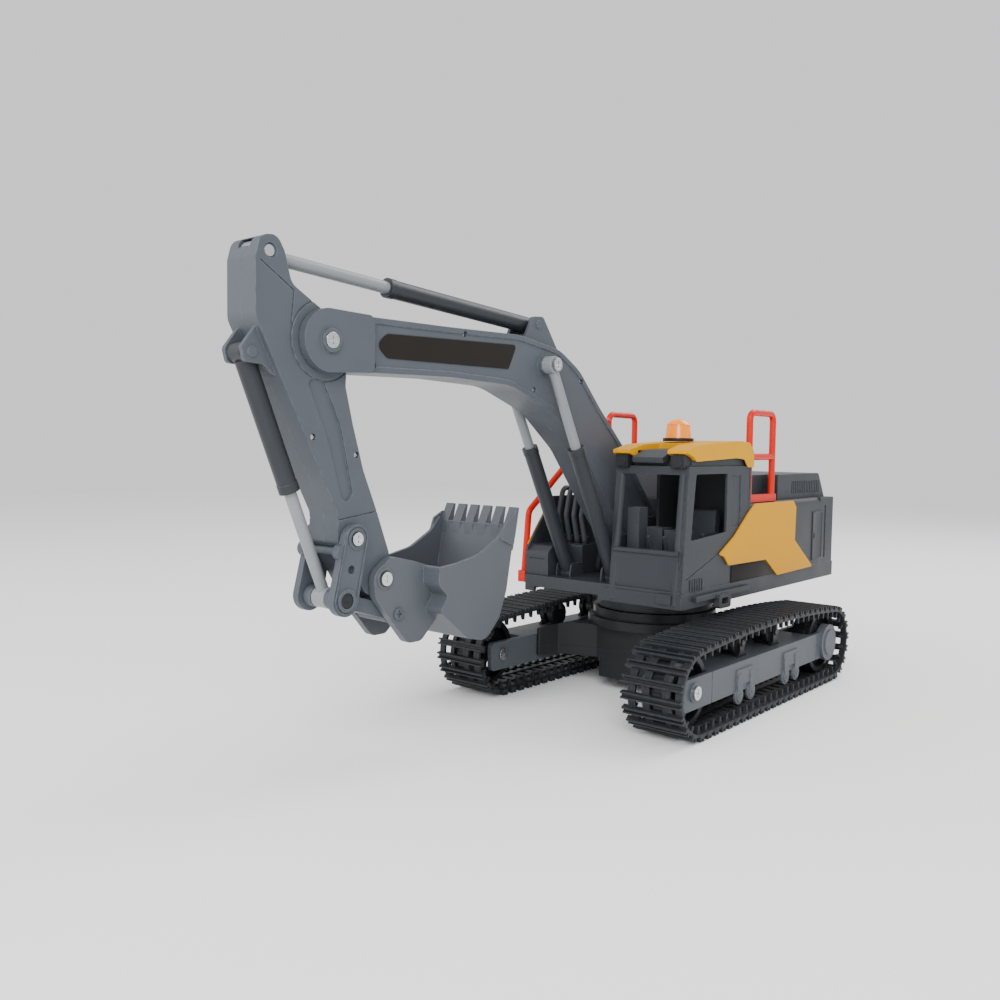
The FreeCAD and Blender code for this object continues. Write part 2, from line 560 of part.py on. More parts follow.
def roof_visor():
    """Grey hatch between the roof's lobes, and the liner that carries the roof."""
    hatch = prism_y([(78, 180), (79, 184), (64, 189.5), (41, 190.5), (41, 187)], (26.6, 51.4), 1.0)
    liner = box((BODY_FRONT_X + 2, 68), (CAB_Y[0] + 2, CAB_Y[1] - 2), (CAB_ROOF_Z, 186.5))
    liner = liner.cut(box((BODY_FRONT_X + 6, 60), (CAB_Y[0] + 6, CAB_Y[1] - 6), (CAB_ROOF_Z - 1, 184)))
    return fuse([hatch, liner])


def lamp_blocks():
    blocks = []
    for y in ((12, 22), (58, 68.5)):
        body = prism_y([(68.2, 176.5), (78, 176.5), (78.5, 186), (68.2, 186.5)], y, 0.8)
        lens = rod((77, (y[0] + y[1]) / 2, 181), (79, (y[0] + y[1]) / 2, 181), 3.6)
        blocks.append(body.fuse(lens))
    return Part.makeCompound(blocks)


def operator_seat():
    floor = DECK_Z + 2
    base = box((10, 34), (30, 54), (floor, floor + 16))
    cushion = prism_y([(6, floor + 16), (38, floor + 16), (40, floor + 22), (6, floor + 24)], (27, 57), 3.0)
    back = prism_y([(0, floor + 18), (8, floor + 18), (4, floor + 52), (-4, floor + 52)], (29, 55), 3.0)
    arms = [prism_y([(2, floor + 30), (28, floor + 32), (28, floor + 36), (2, floor + 35)], y, 1.5)
            for y in ((25.9, 29.2), (54.8, 58.1))]
    return fuse([base, cushion, back] + arms)


def cab_console():
    floor = DECK_Z + 2
    tower = box((57, 69), (17.2, 27.2), (floor, 147))
    boxes = [box((44, 57.5), (24, 40), (floor, 132)), box((44, 58), (42, 58), (floor, 131))]
    return fuse([tower] + boxes + [box((44, 58), (39, 43), (floor, 110))])


def control_levers():
    levers = []
    for y in (34.0, 47.0):
        levers.append(pipe([(62.5, y, DECK_Z + 2), (62.5, y, 117), (67, y, 127)], 1.3, 6.0))
    return Part.makeCompound(levers)


def beacon_lens():
    lens = Part.makeCone(10.2, 8.6, 12.5, V(27, 34, 196.2), V(0, 0, 1))
    dome = Part.makeSphere(12.0, V(27, 34, 201.2)).common(box((10, 45), (15, 55), (208.7, 220)))
    return fuse([lens, dome])


def handrail(near):
    """Orange rail: near side a closed frame with a crossbar, far side the frame with a sloping run to a front post."""
    y, r = 66.0, 2.6
    front_x, back_x = -27.0, -68.5
    top, foot = 219.5, BODY_TOP_Z
    frame = [pipe([(front_x, y, foot + 2.5), (front_x, y, top), (back_x, y, top), (back_x, y, foot + 1)], r, 6.0),
             rod((front_x, y, 185), (back_x, y, 185), r)]
    base = prism_y([(front_x + 2.4, foot), (-73, foot), (-73, foot + 6), (front_x + 2.4, foot + 6)],
                   (y - 2.4, y + 2.4), 1.0)
    if near:
        return fuse(frame + [base])
    post_y = HOUSE_Y + 4.8
    slope = pipe([(front_x, y, 214), (-16, y, 214), (70, post_y, 139), (75, post_y, 88)], r, 9.0)
    foot_block = box((69, 80), (HOUSE_Y, HOUSE_Y + 7.0), (83, 92))
    return mirror_y(fuse(frame + [base, slope, foot_block]))


def side_steps():
    """Moulded step rails and hanging loops along the skirt's front ends."""
    left = [box((-18, 66), (HOUSE_Y, HOUSE_Y + 3.2), (82, 86)),
            prism_y([(18, 74), (36, 74), (36, 84), (18, 84)], (HOUSE_Y, HOUSE_Y + 5.5), 2.5)
            .cut(prism_y([(22, 77), (32, 77), (32, 81.5), (22, 81.5)], (HOUSE_Y - 1, HOUSE_Y + 7), 1.0))]
    ledge = box((44, 68.6), (-HOUSE_Y - 3.2, -HOUSE_Y), (82, 86))
    return Part.makeCompound([fuse(left), ledge])


def hose_bundle():
    """Four hoses that arch from the tank's face down to its shelf."""
    hoses = []
    for i in range(4):
        y = -64.0 + 7.6 * i
        hoses.append(pipe([(12.6, y, 136), (22, y, 156), (40, y, 158), (46, y, 136), (40, y, 113)], 2.1, 6.0))
    return Part.makeCompound(hoses)


def battery_pack():
    return prism_x([(-40, 92.5), (40, 92.5), (40, 126), (-40, 126)], (-150, -100), 4.0)


def battery_door():
    plate = box((-152, -98), (-42, 42), (SKIRT_Z + 0.5, SKIRT_Z + 2.5))
    ribs = [box((x, x + 1.2), (-30, 30), (SKIRT_Z - 0.3, SKIRT_Z + 0.5)) for x in (-146, -140, -134)]
    legs = [box((x, x + 3), (y, y + 3), (SKIRT_Z + 2.5, DECK_Z - 3)) for x in (-150, -103) for y in (-40, 37)]
    return fuse([plate] + ribs + legs)


def circuit_board():
    board = box((-92, -50), (-36, 36), (100, 101.6))
    chips = [box((-86, -74), (-20, -8), (101.6, 104)), box((-68, -58), (4, 22), (101.6, 103.2)),
             rod((-80, 18, 101.6), (-80, 18, 110), 4.0)]
    posts = [box((x, x + 3), (y, y + 3), (DECK_Z, 100)) for x in (-90, -55) for y in (-34, 31)]
    return fuse([board] + chips + posts)


def slew_motor():
    """Slew gear motor on the deck behind the boom foot; its shaft goes down through the spigot."""
    gearbox = box((-58, -28), (-12, 12), (DECK_Z, 98))
    can = disc_z((-42, 0), (98, 99.6), 9.0)
    return fuse([gearbox, can])


def power_switch():
    """Slide switch under the tail; its knob rides in the slot of the battery bay."""
    knob = box((-72, -66), (14, 22), (SKIRT_Z + 0.2, 84.6))
    tab = box((-73.5, -64.5), (12.5, 23.5), (84.6, 85.6))
    return fuse([knob, tab])


def house_screws():
    spots = [(-186.0, y, z) for y in (-40, 40) for z in (104.0, 134.0)]
    back = [cross_screw((HOUSE_REAR_X, y, z), (-1, 0, 0), 2.8, 4.0) for _, y, z in spots]
    under = [cross_screw((-125, y, SKIRT_Z + 0.5), (0, 0, -1), 2.6, 1.5) for y in (-36, 36)]
    return Part.makeCompound(back + under)


# ---- boom ----
BOOM_OUTLINE = [(-4, 118, 8), (20, 110, 8), (47, 130, 20), (72, 158, 30), (99, 189, 40), (134, 215, 60),
                (180, 230.8, 60), (238, 232.4, 60), (309, 230.5, 3), (309, 261.5, 3), (239, 262.6, 60),
                (172, 264.5, 60), (128, 258.3, 40), (104, 245.4, 40), (78, 220, 40), (47, 193, 30), (-5, 136, 10)]
BOOM_SCREWS = [(300.2, 235), (225, 259.7), (155, 229), (101, 238)]
BOOM_ROD_R = 3.6
BARREL_R = 5.9


def boom_face(y, inset):
    face = rounded_outline(BOOM_OUTLINE, 20, lambda p: V(p.x, y, p.y))
    return face.makeOffset2D(-inset) if inset else face


def boom_half(side):
    """One half of the boom: an outer skin with a rim, hollow inside, and a cheek beside the stick's pivot."""
    inner, outer = ARM_Y, ARM_Y + side * BOOM_HALF
    solid = boom_face(inner, 0).extrude(V(0, side * BOOM_HALF, 0))
    hollow = boom_face(inner - side, WALL + 0.6).extrude(V(0, side * (BOOM_HALF - WALL), 0))
    panel = boom_face(outer + side, 3.4).extrude(V(0, -side * 1.7, 0))
    stick_room = disc_y(STICK_PIVOT, sorted((inner - side, inner + side * 13.1)), 26.0)
    y = sorted((inner + side * 13.1, inner + side * 18.4))
    cheek = fuse([disc_y(STICK_PIVOT, y, 17.0),
                  prism_y([(303, 230.2), (336, 228.4), (336, 262.4), (303, 261.8)], y, 4.0)])
    collar_y = sorted((inner + side * 18.4, inner + side * 20.0))
    collar = disc_y(STICK_PIVOT, collar_y, 6.4).cut(disc_y(STICK_PIVOT, (-60, 60), 4.5))
    foot_boss = disc_y(BOOM_FOOT, sorted((inner, outer)), 9.0)
    top_boss = disc_y(BOOM_CYL_TOP, sorted((inner, outer + side * 2.6)), 6.2)
    shell = fuse([solid.cut([hollow, panel, stick_room]), cheek, collar, foot_boss.common(solid), top_boss])
    bores = [disc_y(BOOM_FOOT, (-60, 60), 4.0 + PIN_CLEAR), disc_y(BOOM_CYL_TOP, (-60, 60), 3.5),
             disc_y(STICK_PIVOT, (-60, 60), 4.0)]
    holes = [disc_y(at, sorted((outer - side * 3.5, outer + side * 3)), 1.9) for at in BOOM_SCREWS]
    return shell.cut(bores + holes)


def boom_bracket():
    """Two triangular plates with studs on the boom's back that hold the base of the arm cylinder."""
    plates = []
    x, z = ARM_CYL_BASE
    for side in (-1, 1):
        y = arm(sorted((side * 6.8, side * 9.4)))
        plate = prism_y([(x - 16, 252), (x + 16, 258), (x + 14, 264.5), (x + 6, z + 5), (x - 5, z + 6),
                         (x - 24, 256)], y, 3.5)
        studs = [disc_y(ARM_CYL_BASE, arm(sorted((side * 5.9, side * 9.8))), 2.2),
                 disc_y(ARM_CYL_BASE, arm(sorted((side * 9.3, side * 10.2))), 3.0)]
        plates.append(fuse([plate] + studs))
    return plates


def boom_left():
    return fuse([boom_half(1), boom_bracket()[1]])


def boom_right():
    return fuse([boom_half(-1), boom_bracket()[0]])


def label_plates():
    """Plain dark plates in the boom's side panels."""
    outline = [(183, 241.2, 2), (290, 239.6, 6.5), (298.5, 246.6, 6.5), (290, 253.6, 6.5), (175, 257.6, 2)]
    depth = BOOM_HALF - 0.7
    return Part.makeCompound([prism_y(outline, arm(sorted((side * depth, side * (depth + 0.5)))), 3)
                              for side in (-1, 1)])


def groove_line(points, y):
    """Tool that cuts a narrow groove along a chain of X and Z points, between two Y values."""
    runs = []
    for (x0, z0), (x1, z1) in zip(points, points[1:]):
        length = math.hypot(x1 - x0, z1 - z0)
        nx, nz = -(z1 - z0) / length * 0.4, (x1 - x0) / length * 0.4
        runs.append(prism_y([(x0 - nx, z0 - nz), (x1 - nx, z1 - nz), (x1 + nx, z1 + nz), (x0 + nx, z0 + nz)], y))
    return fuse(runs)


def pin_with_heads(at, half, radius, head_r, head):
    """Pin across the arm's plane with a cross-slotted head at each end."""
    bar = disc_y(at, arm((-half, half)), radius)
    parts = [bar]
    slots = []
    for side in (-1, 1):
        parts.append(disc_y(at, arm(sorted((side * half, side * (half + head)))), head_r))
        end = sorted((side * (half + head - 0.9), side * (half + head + 1)))
        slots.append(box((at[0] - head_r * 0.6, at[0] + head_r * 0.6), arm(end), (at[1] - 0.5, at[1] + 0.5)))
        slots.append(box((at[0] - 0.5, at[0] + 0.5), arm(end), (at[1] - head_r * 0.6, at[1] + head_r * 0.6)))
    return fuse(parts).cut(slots)


def boom_pins():
    """Stick pin and cylinder-top pin."""
    pins = [pin_with_heads(STICK_PIVOT, 18.4, 4.0, 4.3, 1.9),
            pin_with_heads(BOOM_CYL_TOP, BOOM_CYL_SIDE + 4.6, 3.5, 4.4, 1.6)]
    return pins


def toward(start, end, distance):
    """Point at a distance from start on the line to end, in X and Z."""
    length = math.hypot(end[0] - start[0], end[1] - start[1])
    return (start[0] + (end[0] - start[0]) * distance / length, start[1] + (end[1] - start[1]) * distance / length)


def cylinder_rod(eye, base, y, half, radius, pin_r, length, eye_r):
    """Rod with an eye on its pin; y is the rod's own plane."""
    neck = toward(eye, base, eye_r - 1)
    end = toward(eye, base, length)
    shape = fuse([disc_y(eye, (y - half, y + half), eye_r),
                  rod((neck[0], y, neck[1]), (end[0], y, end[1]), radius)])
    return shape.cut(disc_y(eye, (y - half - 1, y + half + 1), pin_r + PIN_CLEAR))


def cylinder_barrel(base, eye, y, half, radius, bore_r, bore_from, length, eye_r):
    """Barrel with a bore for its rod, a collar at its mouth and a round base eye."""
    neck = toward(base, eye, eye_r - 1.5)
    mouth = toward(base, eye, length)
    collar = toward(base, eye, length - 5)
    bottom = toward(base, eye, bore_from)
    past = toward(base, eye, length + 1)
    shape = fuse([disc_y(base, (y - half, y + half), eye_r),
                  rod((neck[0], y, neck[1]), (mouth[0], y, mouth[1]), radius - 0.35),
                  rod((collar[0], y, collar[1]), (mouth[0], y, mouth[1]), radius)])
    return shape.cut(rod((bottom[0], y, bottom[1]), (past[0], y, past[1]), bore_r))


def boom_rods():
    return Part.makeCompound([cylinder_rod(BOOM_CYL_TOP, BOOM_CYL_BASE, ARM_Y + side * BOOM_CYL_SIDE, 3.6,
                                           BOOM_ROD_R, 3.5, 102.0, 5.9) for side in (-1, 1)])


def boom_barrels():
    return Part.makeCompound([cylinder_barrel(BOOM_CYL_BASE, BOOM_CYL_TOP, ARM_Y + side * BOOM_CYL_SIDE, 4.2,
                                              BARREL_R, BOOM_ROD_R + PIN_CLEAR, 52.0, 110.4, 5.8)
                              for side in (-1, 1)])


def arm_rod():
    return cylinder_rod(STICK_HEAD, ARM_CYL_BASE, ARM_Y, 5.0, 3.7, 3.0, 118.0, 6.4)


def arm_barrel():
    return cylinder_barrel(ARM_CYL_BASE, STICK_HEAD, ARM_Y, 5.5, BARREL_R, 3.7 + PIN_CLEAR, 70.0, 132.6, 5.4)


# ---- stick and bucket ----
STICK_OUTLINE = [(284, 117, 6), (286.5, 129, 10), (296, 153, 20), (306, 176, 30), (313.6, 201, 30), (319, 222, 8),
                 (317.5, 245, 14), (330, 259, 8), (355, 273, 8), (359.5, 289, 5), (364, 296.3, 6), (374, 295, 7),
                 (377, 284, 5), (377, 254, 10), (324, 152, 8), (324, 136.5, 3), (303, 105, 7), (288, 104, 8)]


def stick_half(side):
    """One half of the stick: skin with a long recess, hollow, forked at its head for the arm cylinder's eye."""
    def face(y, inset):
        flat = rounded_outline(STICK_OUTLINE, 8, lambda p: V(p.x, y, p.y))
        return flat.makeOffset2D(-inset) if inset else flat

    inner = ARM_Y
    solid = face(inner, 0).extrude(V(0, side * STICK_HALF, 0))
    hollow = face(inner - side, WALL + 0.6).extrude(V(0, side * (STICK_HALF - WALL), 0))
    bosses = [disc_y(at, sorted((inner, inner + side * STICK_HALF)), r).common(solid)
              for at, r in ((STICK_PIVOT, 9.0), (BUCKET_PIVOT, 8.0), (ROCKER_PIVOT, 7.0))]
    body = fuse([solid.cut(hollow)] + bosses)
    outer = inner + side * STICK_HALF
    recess = prism_y([(313, 161, 5), (321, 158, 5), (330, 190, 20), (346, 226, 4), (334, 224, 4), (322, 200, 20)],
                     sorted((outer - side * 1.3, outer + side)), 3.5)
    head_slot = prism_y([(346, 279), (375.4, 279), (375.4, 294.3), (365.4, 294.3), (365.4, 305), (346, 305)],
                        sorted((inner - side, inner + side * 5.4)))
    head_line = groove_line([(374.6, 282.6), (353.6, 269.6), (355.4, 252)], sorted((outer - side * 0.7, outer + side)))
    pin_seat = disc_y(STICK_HEAD, sorted((outer - side * 1.2, outer + side)), 3.8)
    groove = disc_y(STICK_PIVOT, sorted((outer - side * 0.6, outer + side)), 22.0)
    groove = groove.cut(disc_y(STICK_PIVOT, sorted((outer - side * 2, outer + side * 2)), 21.0))
    seam = prism_y([(290, 153.6), (330, 148.2), (330, 147.6), (290, 153.0)],
                   sorted((outer - side * 0.6, outer + side)))
    ear_y = sorted((inner + side * 6.2, inner + side * 8.8))
    x, z = BUCKET_CYL_TOP
    ear = prism_y([(x - 12, z + 18), (x - 2, z + 13), (x + 6.4, z + 2), (x + 4.5, z - 5.5), (x - 6, z - 6),
                   (x - 18, z - 14)], ear_y, 2.5)
    studs = [disc_y(BUCKET_CYL_TOP, sorted((inner + side * 5.6, inner + side * 9.2)), 2.0),
             disc_y(BUCKET_CYL_TOP, sorted((inner + side * 8.6, inner + side * 9.6)), 2.8)]
    bores = [disc_y(STICK_PIVOT, (-60, 60), 4.0 + PIN_CLEAR), disc_y(BUCKET_PIVOT, (-60, 60), 3.0),
             disc_y(ROCKER_PIVOT, (-60, 60), 2.8), disc_y(STICK_HEAD, (-60, 60), 3.0)]
    holes = [disc_y(at, sorted((outer - side * 3, outer + side * 3)), 1.9) for at in ((341, 194), (311, 184.5))]
    body = body.cut([recess, head_slot, head_line, pin_seat, groove, seam] + holes)
    return fuse([body, ear.cut(solid)] + studs).cut(bores)


def stick_pins():
    """Pins of the arm cylinder's eye, the rocker and the bucket."""
    return [disc_y(STICK_HEAD, arm((-STICK_HALF + 0.9, STICK_HALF - 0.9)), 3.0),
            pin_with_heads(ROCKER_PIVOT, 18.2, 2.8, 3.7, 1.0),
            pin_with_heads(BUCKET_PIVOT, 18.8, 3.0, 4.0, 1.2)]


def rocker_links():
    """Two plates that turn on the stick, joined by a tube and by a long pin at their far end."""
    parts = []
    for side in (-1, 1):
        y = arm(sorted((side * (STICK_HALF + 0.7), side * 17.8)))
        a, b = ROCKER_PIVOT, ROCKER_END
        plate = fuse([disc_y(a, y, 8.2), disc_y(b, y, 9.0),
                      prism_y([(a[0] - 8, a[1] - 2), (b[0] - 8.8, b[1] - 2), (b[0] + 8.8, b[1] + 2),
                               (a[0] + 8, a[1] + 2)], y)])
        ring = disc_y(b, arm(sorted((side * 17.0, side * 19.2))), 6.4)
        ring = ring.cut(disc_y(b, arm(sorted((side * 18.0, side * 20))), 4.4))
        hole = disc_y((318.7, 121.3), arm(sorted((side * 15, side * 20))), 2.4)
        parts += [plate.cut(hole), ring]
        parts.append(disc_y(ROCKER_TUBE, y, 4.6))
    pin = disc_y(ROCKER_END, arm((-18.4, 18.4)), 3.0)
    tube = disc_y(ROCKER_TUBE, arm((-14, 14)), 2.2)
    return fuse(parts + [pin, tube]).cut(disc_y(ROCKER_PIVOT, (-60, 60), 2.8 + PIN_CLEAR))


def link_bar():
    """Bar from the rocker's pin to the bucket, slotted where the bucket cylinder's eye sits."""
    a, b = ROCKER_END, BUCKET_LINK_PIN
    y = arm((-12.0, 12.0))
    bar = fuse([disc_y(a, y, 6.2), disc_y(b, y, 6.0),
                prism_y([(a[0] + 0.8, a[1] - 4), (a[0] - 0.8, a[1] + 4), (b[0] - 0.8, b[1] + 4),
                         (b[0] + 0.8, b[1] - 4)], y)])
    slot = box((a[0] - 11, a[0] + 12), arm((-5.9, 5.9)), (a[1] - 14, a[1] + 14))
    return bar.cut([slot, disc_y(a, (-60, 60), 3.0 + PIN_CLEAR), disc_y(b, (-60, 60), 2.5 + 1.3)])


def bucket_rod():
    return cylinder_rod(ROCKER_END, BUCKET_CYL_TOP, ARM_Y, 5.3, 3.4, 3.0, 78.0, 6.0)


def bucket_barrel():
    return cylinder_barrel(BUCKET_CYL_TOP, ROCKER_END, ARM_Y, 5.2, 5.75, 3.4 + PIN_CLEAR, 50.0, 77.8, 5.4)


BUCKET_HALF = 31.4
BUCKET_OUTLINE = [(195, 138, 1), (197.1, 127, 10), (202.3, 99, 20), (209, 82, 12), (222, 69.6, 10), (238, 73, 12),
                  (262.6, 92.6, 3), (255.5, 101, 2), (263.5, 108, 5), (263.5, 118.7, 1), (246, 120.4, 20),
                  (228, 124, 20), (210, 133.5, 12), (201, 143, 1)]
BUCKET_INSIDE = [(197.8, 160), (197.8, 138), (200.2, 127, 10), (205.2, 100, 18), (211.6, 84, 10),
                 (222.6, 72.8, 8), (236.6, 75.8, 9), (257.6, 92.8, 3), (251.6, 101, 3), (260.6, 110, 3), (260.6, 160)]


def bucket():
    """Bucket with side plates, six teeth on the lip and two ears on its back."""
    outer = prism_y(BUCKET_OUTLINE, arm((-BUCKET_HALF, BUCKET_HALF)), 2)
    inner = prism_y(BUCKET_INSIDE, arm((-BUCKET_HALF + 2.4, BUCKET_HALF - 2.4)), 2)
    shell = outer.cut(inner)
    parts = [shell]
    tooth = [(196.6, 124), (199.8, 124), (198.4, 140), (192.6, 151.6), (190.6, 151.2), (194.0, 134)]
    for i in range(6):
        y = -28.0 + 11.2 * i
        parts.append(prism_y(tooth, arm((y - 3.4, y + 3.4)), 0.5))
    for side in (-1, 1):
        y = arm(sorted((side * 13.1, side * 18.2)))
        ear = prism_y([(252, 116.5, 3), (272, 122.5, 12), (289, 126.5, 9), (303, 117, 9), (301, 103, 9),
                       (276, 74, 6), (265, 74, 6), (250, 88, 4), (258, 93, 2), (253, 101, 2), (261, 108, 3)], y)
        parts.append(ear)
        parts.append(prism_y([(196.8, 127), (209, 131.5), (205, 142), (195, 147), (193.6, 143)],
                             arm(sorted((side * (BUCKET_HALF - 0.5), side * (BUCKET_HALF + 1.0)))), 2.0))
    brace = prism_y([(256, 84), (262, 88), (270, 96), (266, 101), (257, 99)], arm((-13.2, 13.2)), 1.0)
    parts.append(brace.cut(outer))
    bores = [disc_y(BUCKET_PIVOT, (-60, 60), 3.0 + PIN_CLEAR), disc_y(BUCKET_LINK_PIN, (-60, 60), 2.5)]
    return fuse(parts).cut(bores)


def bucket_link_pin():
    return pin_with_heads(BUCKET_LINK_PIN, 18.2, 2.5, 3.6, 1.2)


# ---- writing ----
def carve(host, tools):
    """Host with room made for the pieces that sit in it."""
    return host.cut(tools)


def node_shapes():
    """Every node's shape, in the machine frame."""
    nodes = {}
    screws = chassis_screws()
    nodes["chassis_lower"] = carve(chassis_lower(), screws)
    nodes["chassis_upper"] = chassis_upper()
    nodes["slew_ring_base"] = slew_ring_base()
    nodes["chassis_screws"] = screws
    sided = {"track_beam": track_beam(), "beam_cover": beam_cover(), "track_belt": track_belt(),
             "idler": idler(), "sprocket": sprocket()}
    for name, shape in sided.items():
        nodes[name + "_left"] = shape
        nodes[name + "_right"] = mirror_y(shape)
    for name, one in (("idler_axles", [idler_axle()]), ("drive_motors", [drive_motor()]),
                      ("carrier_brackets", [carrier_bracket(28.0), carrier_bracket(-28.0)])):
        nodes[name] = Part.makeCompound(one + [mirror_y(shape) for shape in one])
    fasteners = house_screws()
    cab, lamps, pins = cab_shell(), lamp_blocks(), Part.makeCompound(boom_pins())
    visor, hoses = roof_visor(), hose_bundle()
    nodes["deck"] = carve(deck(), cab)
    nodes["house_pins"] = house_pins()
    nodes["engine_body"] = engine_body()
    nodes["counterweight"] = carve(counterweight(), fasteners)
    nodes["engine_hood"] = engine_hood()
    nodes["side_panel_left"] = side_panel()
    nodes["side_panel_right"] = side_panel_right()
    nodes["tank_block"] = carve(tank_block(), hoses)
    nodes["cab_shell"] = carve(cab, lamps)
    nodes["cab_roof"] = cab_roof().cut([lamps, visor])
    nodes["roof_visor"] = visor
    nodes["lamp_blocks"] = lamps
    nodes["operator_seat"] = operator_seat()
    nodes["cab_console"] = cab_console()
    nodes["control_levers"] = control_levers()
    nodes["beacon_lens"] = beacon_lens()
    nodes["handrail_left"] = handrail(True)
    nodes["handrail_right"] = handrail(False)
    nodes["side_steps"] = side_steps()
    nodes["hose_bundle"] = hoses
    nodes["battery_pack"] = battery_pack()
    nodes["battery_door"] = carve(battery_door(), fasteners)
    nodes["circuit_board"] = circuit_board()
    nodes["slew_motor"] = slew_motor()
    nodes["power_switch"] = power_switch()
    nodes["house_screws"] = fasteners
    nodes["boom_shell_left"] = carve(boom_left(), pins)
    nodes["boom_shell_right"] = carve(boom_right(), pins)
    nodes["label_plates"] = label_plates()
    nodes["boom_pins"] = pins
    nodes["boom_rods"] = boom_rods()
    nodes["boom_barrels"] = boom_barrels()
    nodes["arm_rod"] = arm_rod()
    nodes["arm_barrel"] = arm_barrel()
    pins = Part.makeCompound(stick_pins())
    nodes["stick_shell_left"] = carve(stick_half(1), pins)
    nodes["stick_shell_right"] = carve(stick_half(-1), pins)
    nodes["stick_pins"] = pins
    nodes["rocker_links"] = rocker_links()
    nodes["link_bar"] = link_bar()
    nodes["bucket_rod"] = bucket_rod()
    nodes["bucket_barrel"] = bucket_barrel()
    nodes["bucket"] = bucket()
    nodes["bucket_link_pin"] = bucket_link_pin()
    return nodes


def main():
    os.makedirs("parts", exist_ok=True)
    for name, shape in node_shapes().items():
        shape.translate(V(FRAME_SHIFT, 0, 0))
        shape.exportStep(os.path.join("parts", name + ".step"))
        solids = len(shape.Solids)
        print("%-20s solids %2d valid %s volume %9.1f" % (name, solids, shape.isValid(), shape.Volume))


if __name__ == "__main__":
    main()
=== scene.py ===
import json
import logging
import math
from dataclasses import dataclass
from enum import Enum
from typing import Callable, Optional

import bmesh
import bpy
from mathutils import Matrix, Vector


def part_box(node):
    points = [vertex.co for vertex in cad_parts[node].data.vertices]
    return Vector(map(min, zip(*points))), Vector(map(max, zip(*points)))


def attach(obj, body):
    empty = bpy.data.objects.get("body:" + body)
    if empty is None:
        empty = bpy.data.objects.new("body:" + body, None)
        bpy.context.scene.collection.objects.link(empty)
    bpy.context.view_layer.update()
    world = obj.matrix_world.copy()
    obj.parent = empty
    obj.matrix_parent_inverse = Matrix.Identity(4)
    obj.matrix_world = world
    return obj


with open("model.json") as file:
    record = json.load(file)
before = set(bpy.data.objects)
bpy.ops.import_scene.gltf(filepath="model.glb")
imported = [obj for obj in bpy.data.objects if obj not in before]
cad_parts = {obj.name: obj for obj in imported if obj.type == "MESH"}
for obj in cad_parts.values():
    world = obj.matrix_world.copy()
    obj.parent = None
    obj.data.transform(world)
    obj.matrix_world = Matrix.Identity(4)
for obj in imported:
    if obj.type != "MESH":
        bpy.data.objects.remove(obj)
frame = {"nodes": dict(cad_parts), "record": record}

log = logging.getLogger("excavator")
logging.basicConfig(level=logging.INFO, format="%(message)s")
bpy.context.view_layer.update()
MM = 0.001

Colour = tuple[float, float, float, float]
Point = tuple[float, float, float]


# ------------------------------------------------------------------ small tools for materials

def srgb(code: str) -> Colour:
    """Turn an sRGB hex colour into the linear colour that shaders use.

    Args:
        code: six hex digits with a leading hash.

    Returns:
        Linear red, green, blue and an alpha of one.
    """
    parts = [int(code[i:i + 2], 16) / 255 for i in (1, 3, 5)]
    linear = [c / 12.92 if c <= 0.04045 else ((c + 0.055) / 1.055) ** 2.4 for c in parts]
    return (linear[0], linear[1], linear[2], 1.0)


def per_mm(size_mm: float) -> float:
    """Pattern scale, in repeats per metre, of a feature of this size in millimetres."""
    return 1000.0 / size_mm


def add_node(tree: bpy.types.NodeTree, kind: str, settings: Optional[dict] = None,
             inputs: Optional[dict] = None) -> bpy.types.Node:
    """Add one node with its settings, and fill or link its sockets.

    Args:
        tree: the node tree to add to.
        kind: the node's type name without its "ShaderNode" prefix.
        settings: attribute values.
        inputs: socket name or index to a value, or to an output socket to link.

    Returns:
        The new node.
    """
    node = tree.nodes.new("ShaderNode" + kind)
    for key, value in (settings or {}).items():
        setattr(node, key, value)
    for key, value in (inputs or {}).items():
        if isinstance(value, bpy.types.NodeSocket):
            tree.links.new(value, node.inputs[key])
        else:
            node.inputs[key].default_value = value
    return node


def blank_material(name: str) -> tuple[bpy.types.Material, bpy.types.NodeTree]:
    """A new material with an empty node tree, and the tree."""
    material = bpy.data.materials.new(name)
    material.use_nodes = True
    material.node_tree.nodes.clear()
    return material, material.node_tree


def edge_mask(tree: bpy.types.NodeTree,
              radius_mm: float) -> tuple[bpy.types.NodeSocket, bpy.types.NodeSocket]:
    """Find the sharp edges of any mesh, and a normal that rounds them.

    Args:
        tree: the material's tree.
        radius_mm: radius of the rounding.

    Returns:
        A socket that is one on an edge and zero on a flat, and the rounded normal.
    """
    rounded = add_node(tree, "Bevel", {"samples": 4}, {"Radius": radius_mm * MM})
    plain = add_node(tree, "NewGeometry")
    turn = add_node(tree, "VectorMath", {"operation": "DOT_PRODUCT"},
                    {0: rounded.outputs["Normal"], 1: plain.outputs["Normal"]})
    mask = add_node(tree, "MapRange", {}, {"Value": turn.outputs["Value"], "From Min": 0.995,
                                           "From Max": 0.80})
    return mask.outputs["Result"], rounded.outputs["Normal"]


# ------------------------------------------------------------------ finishes

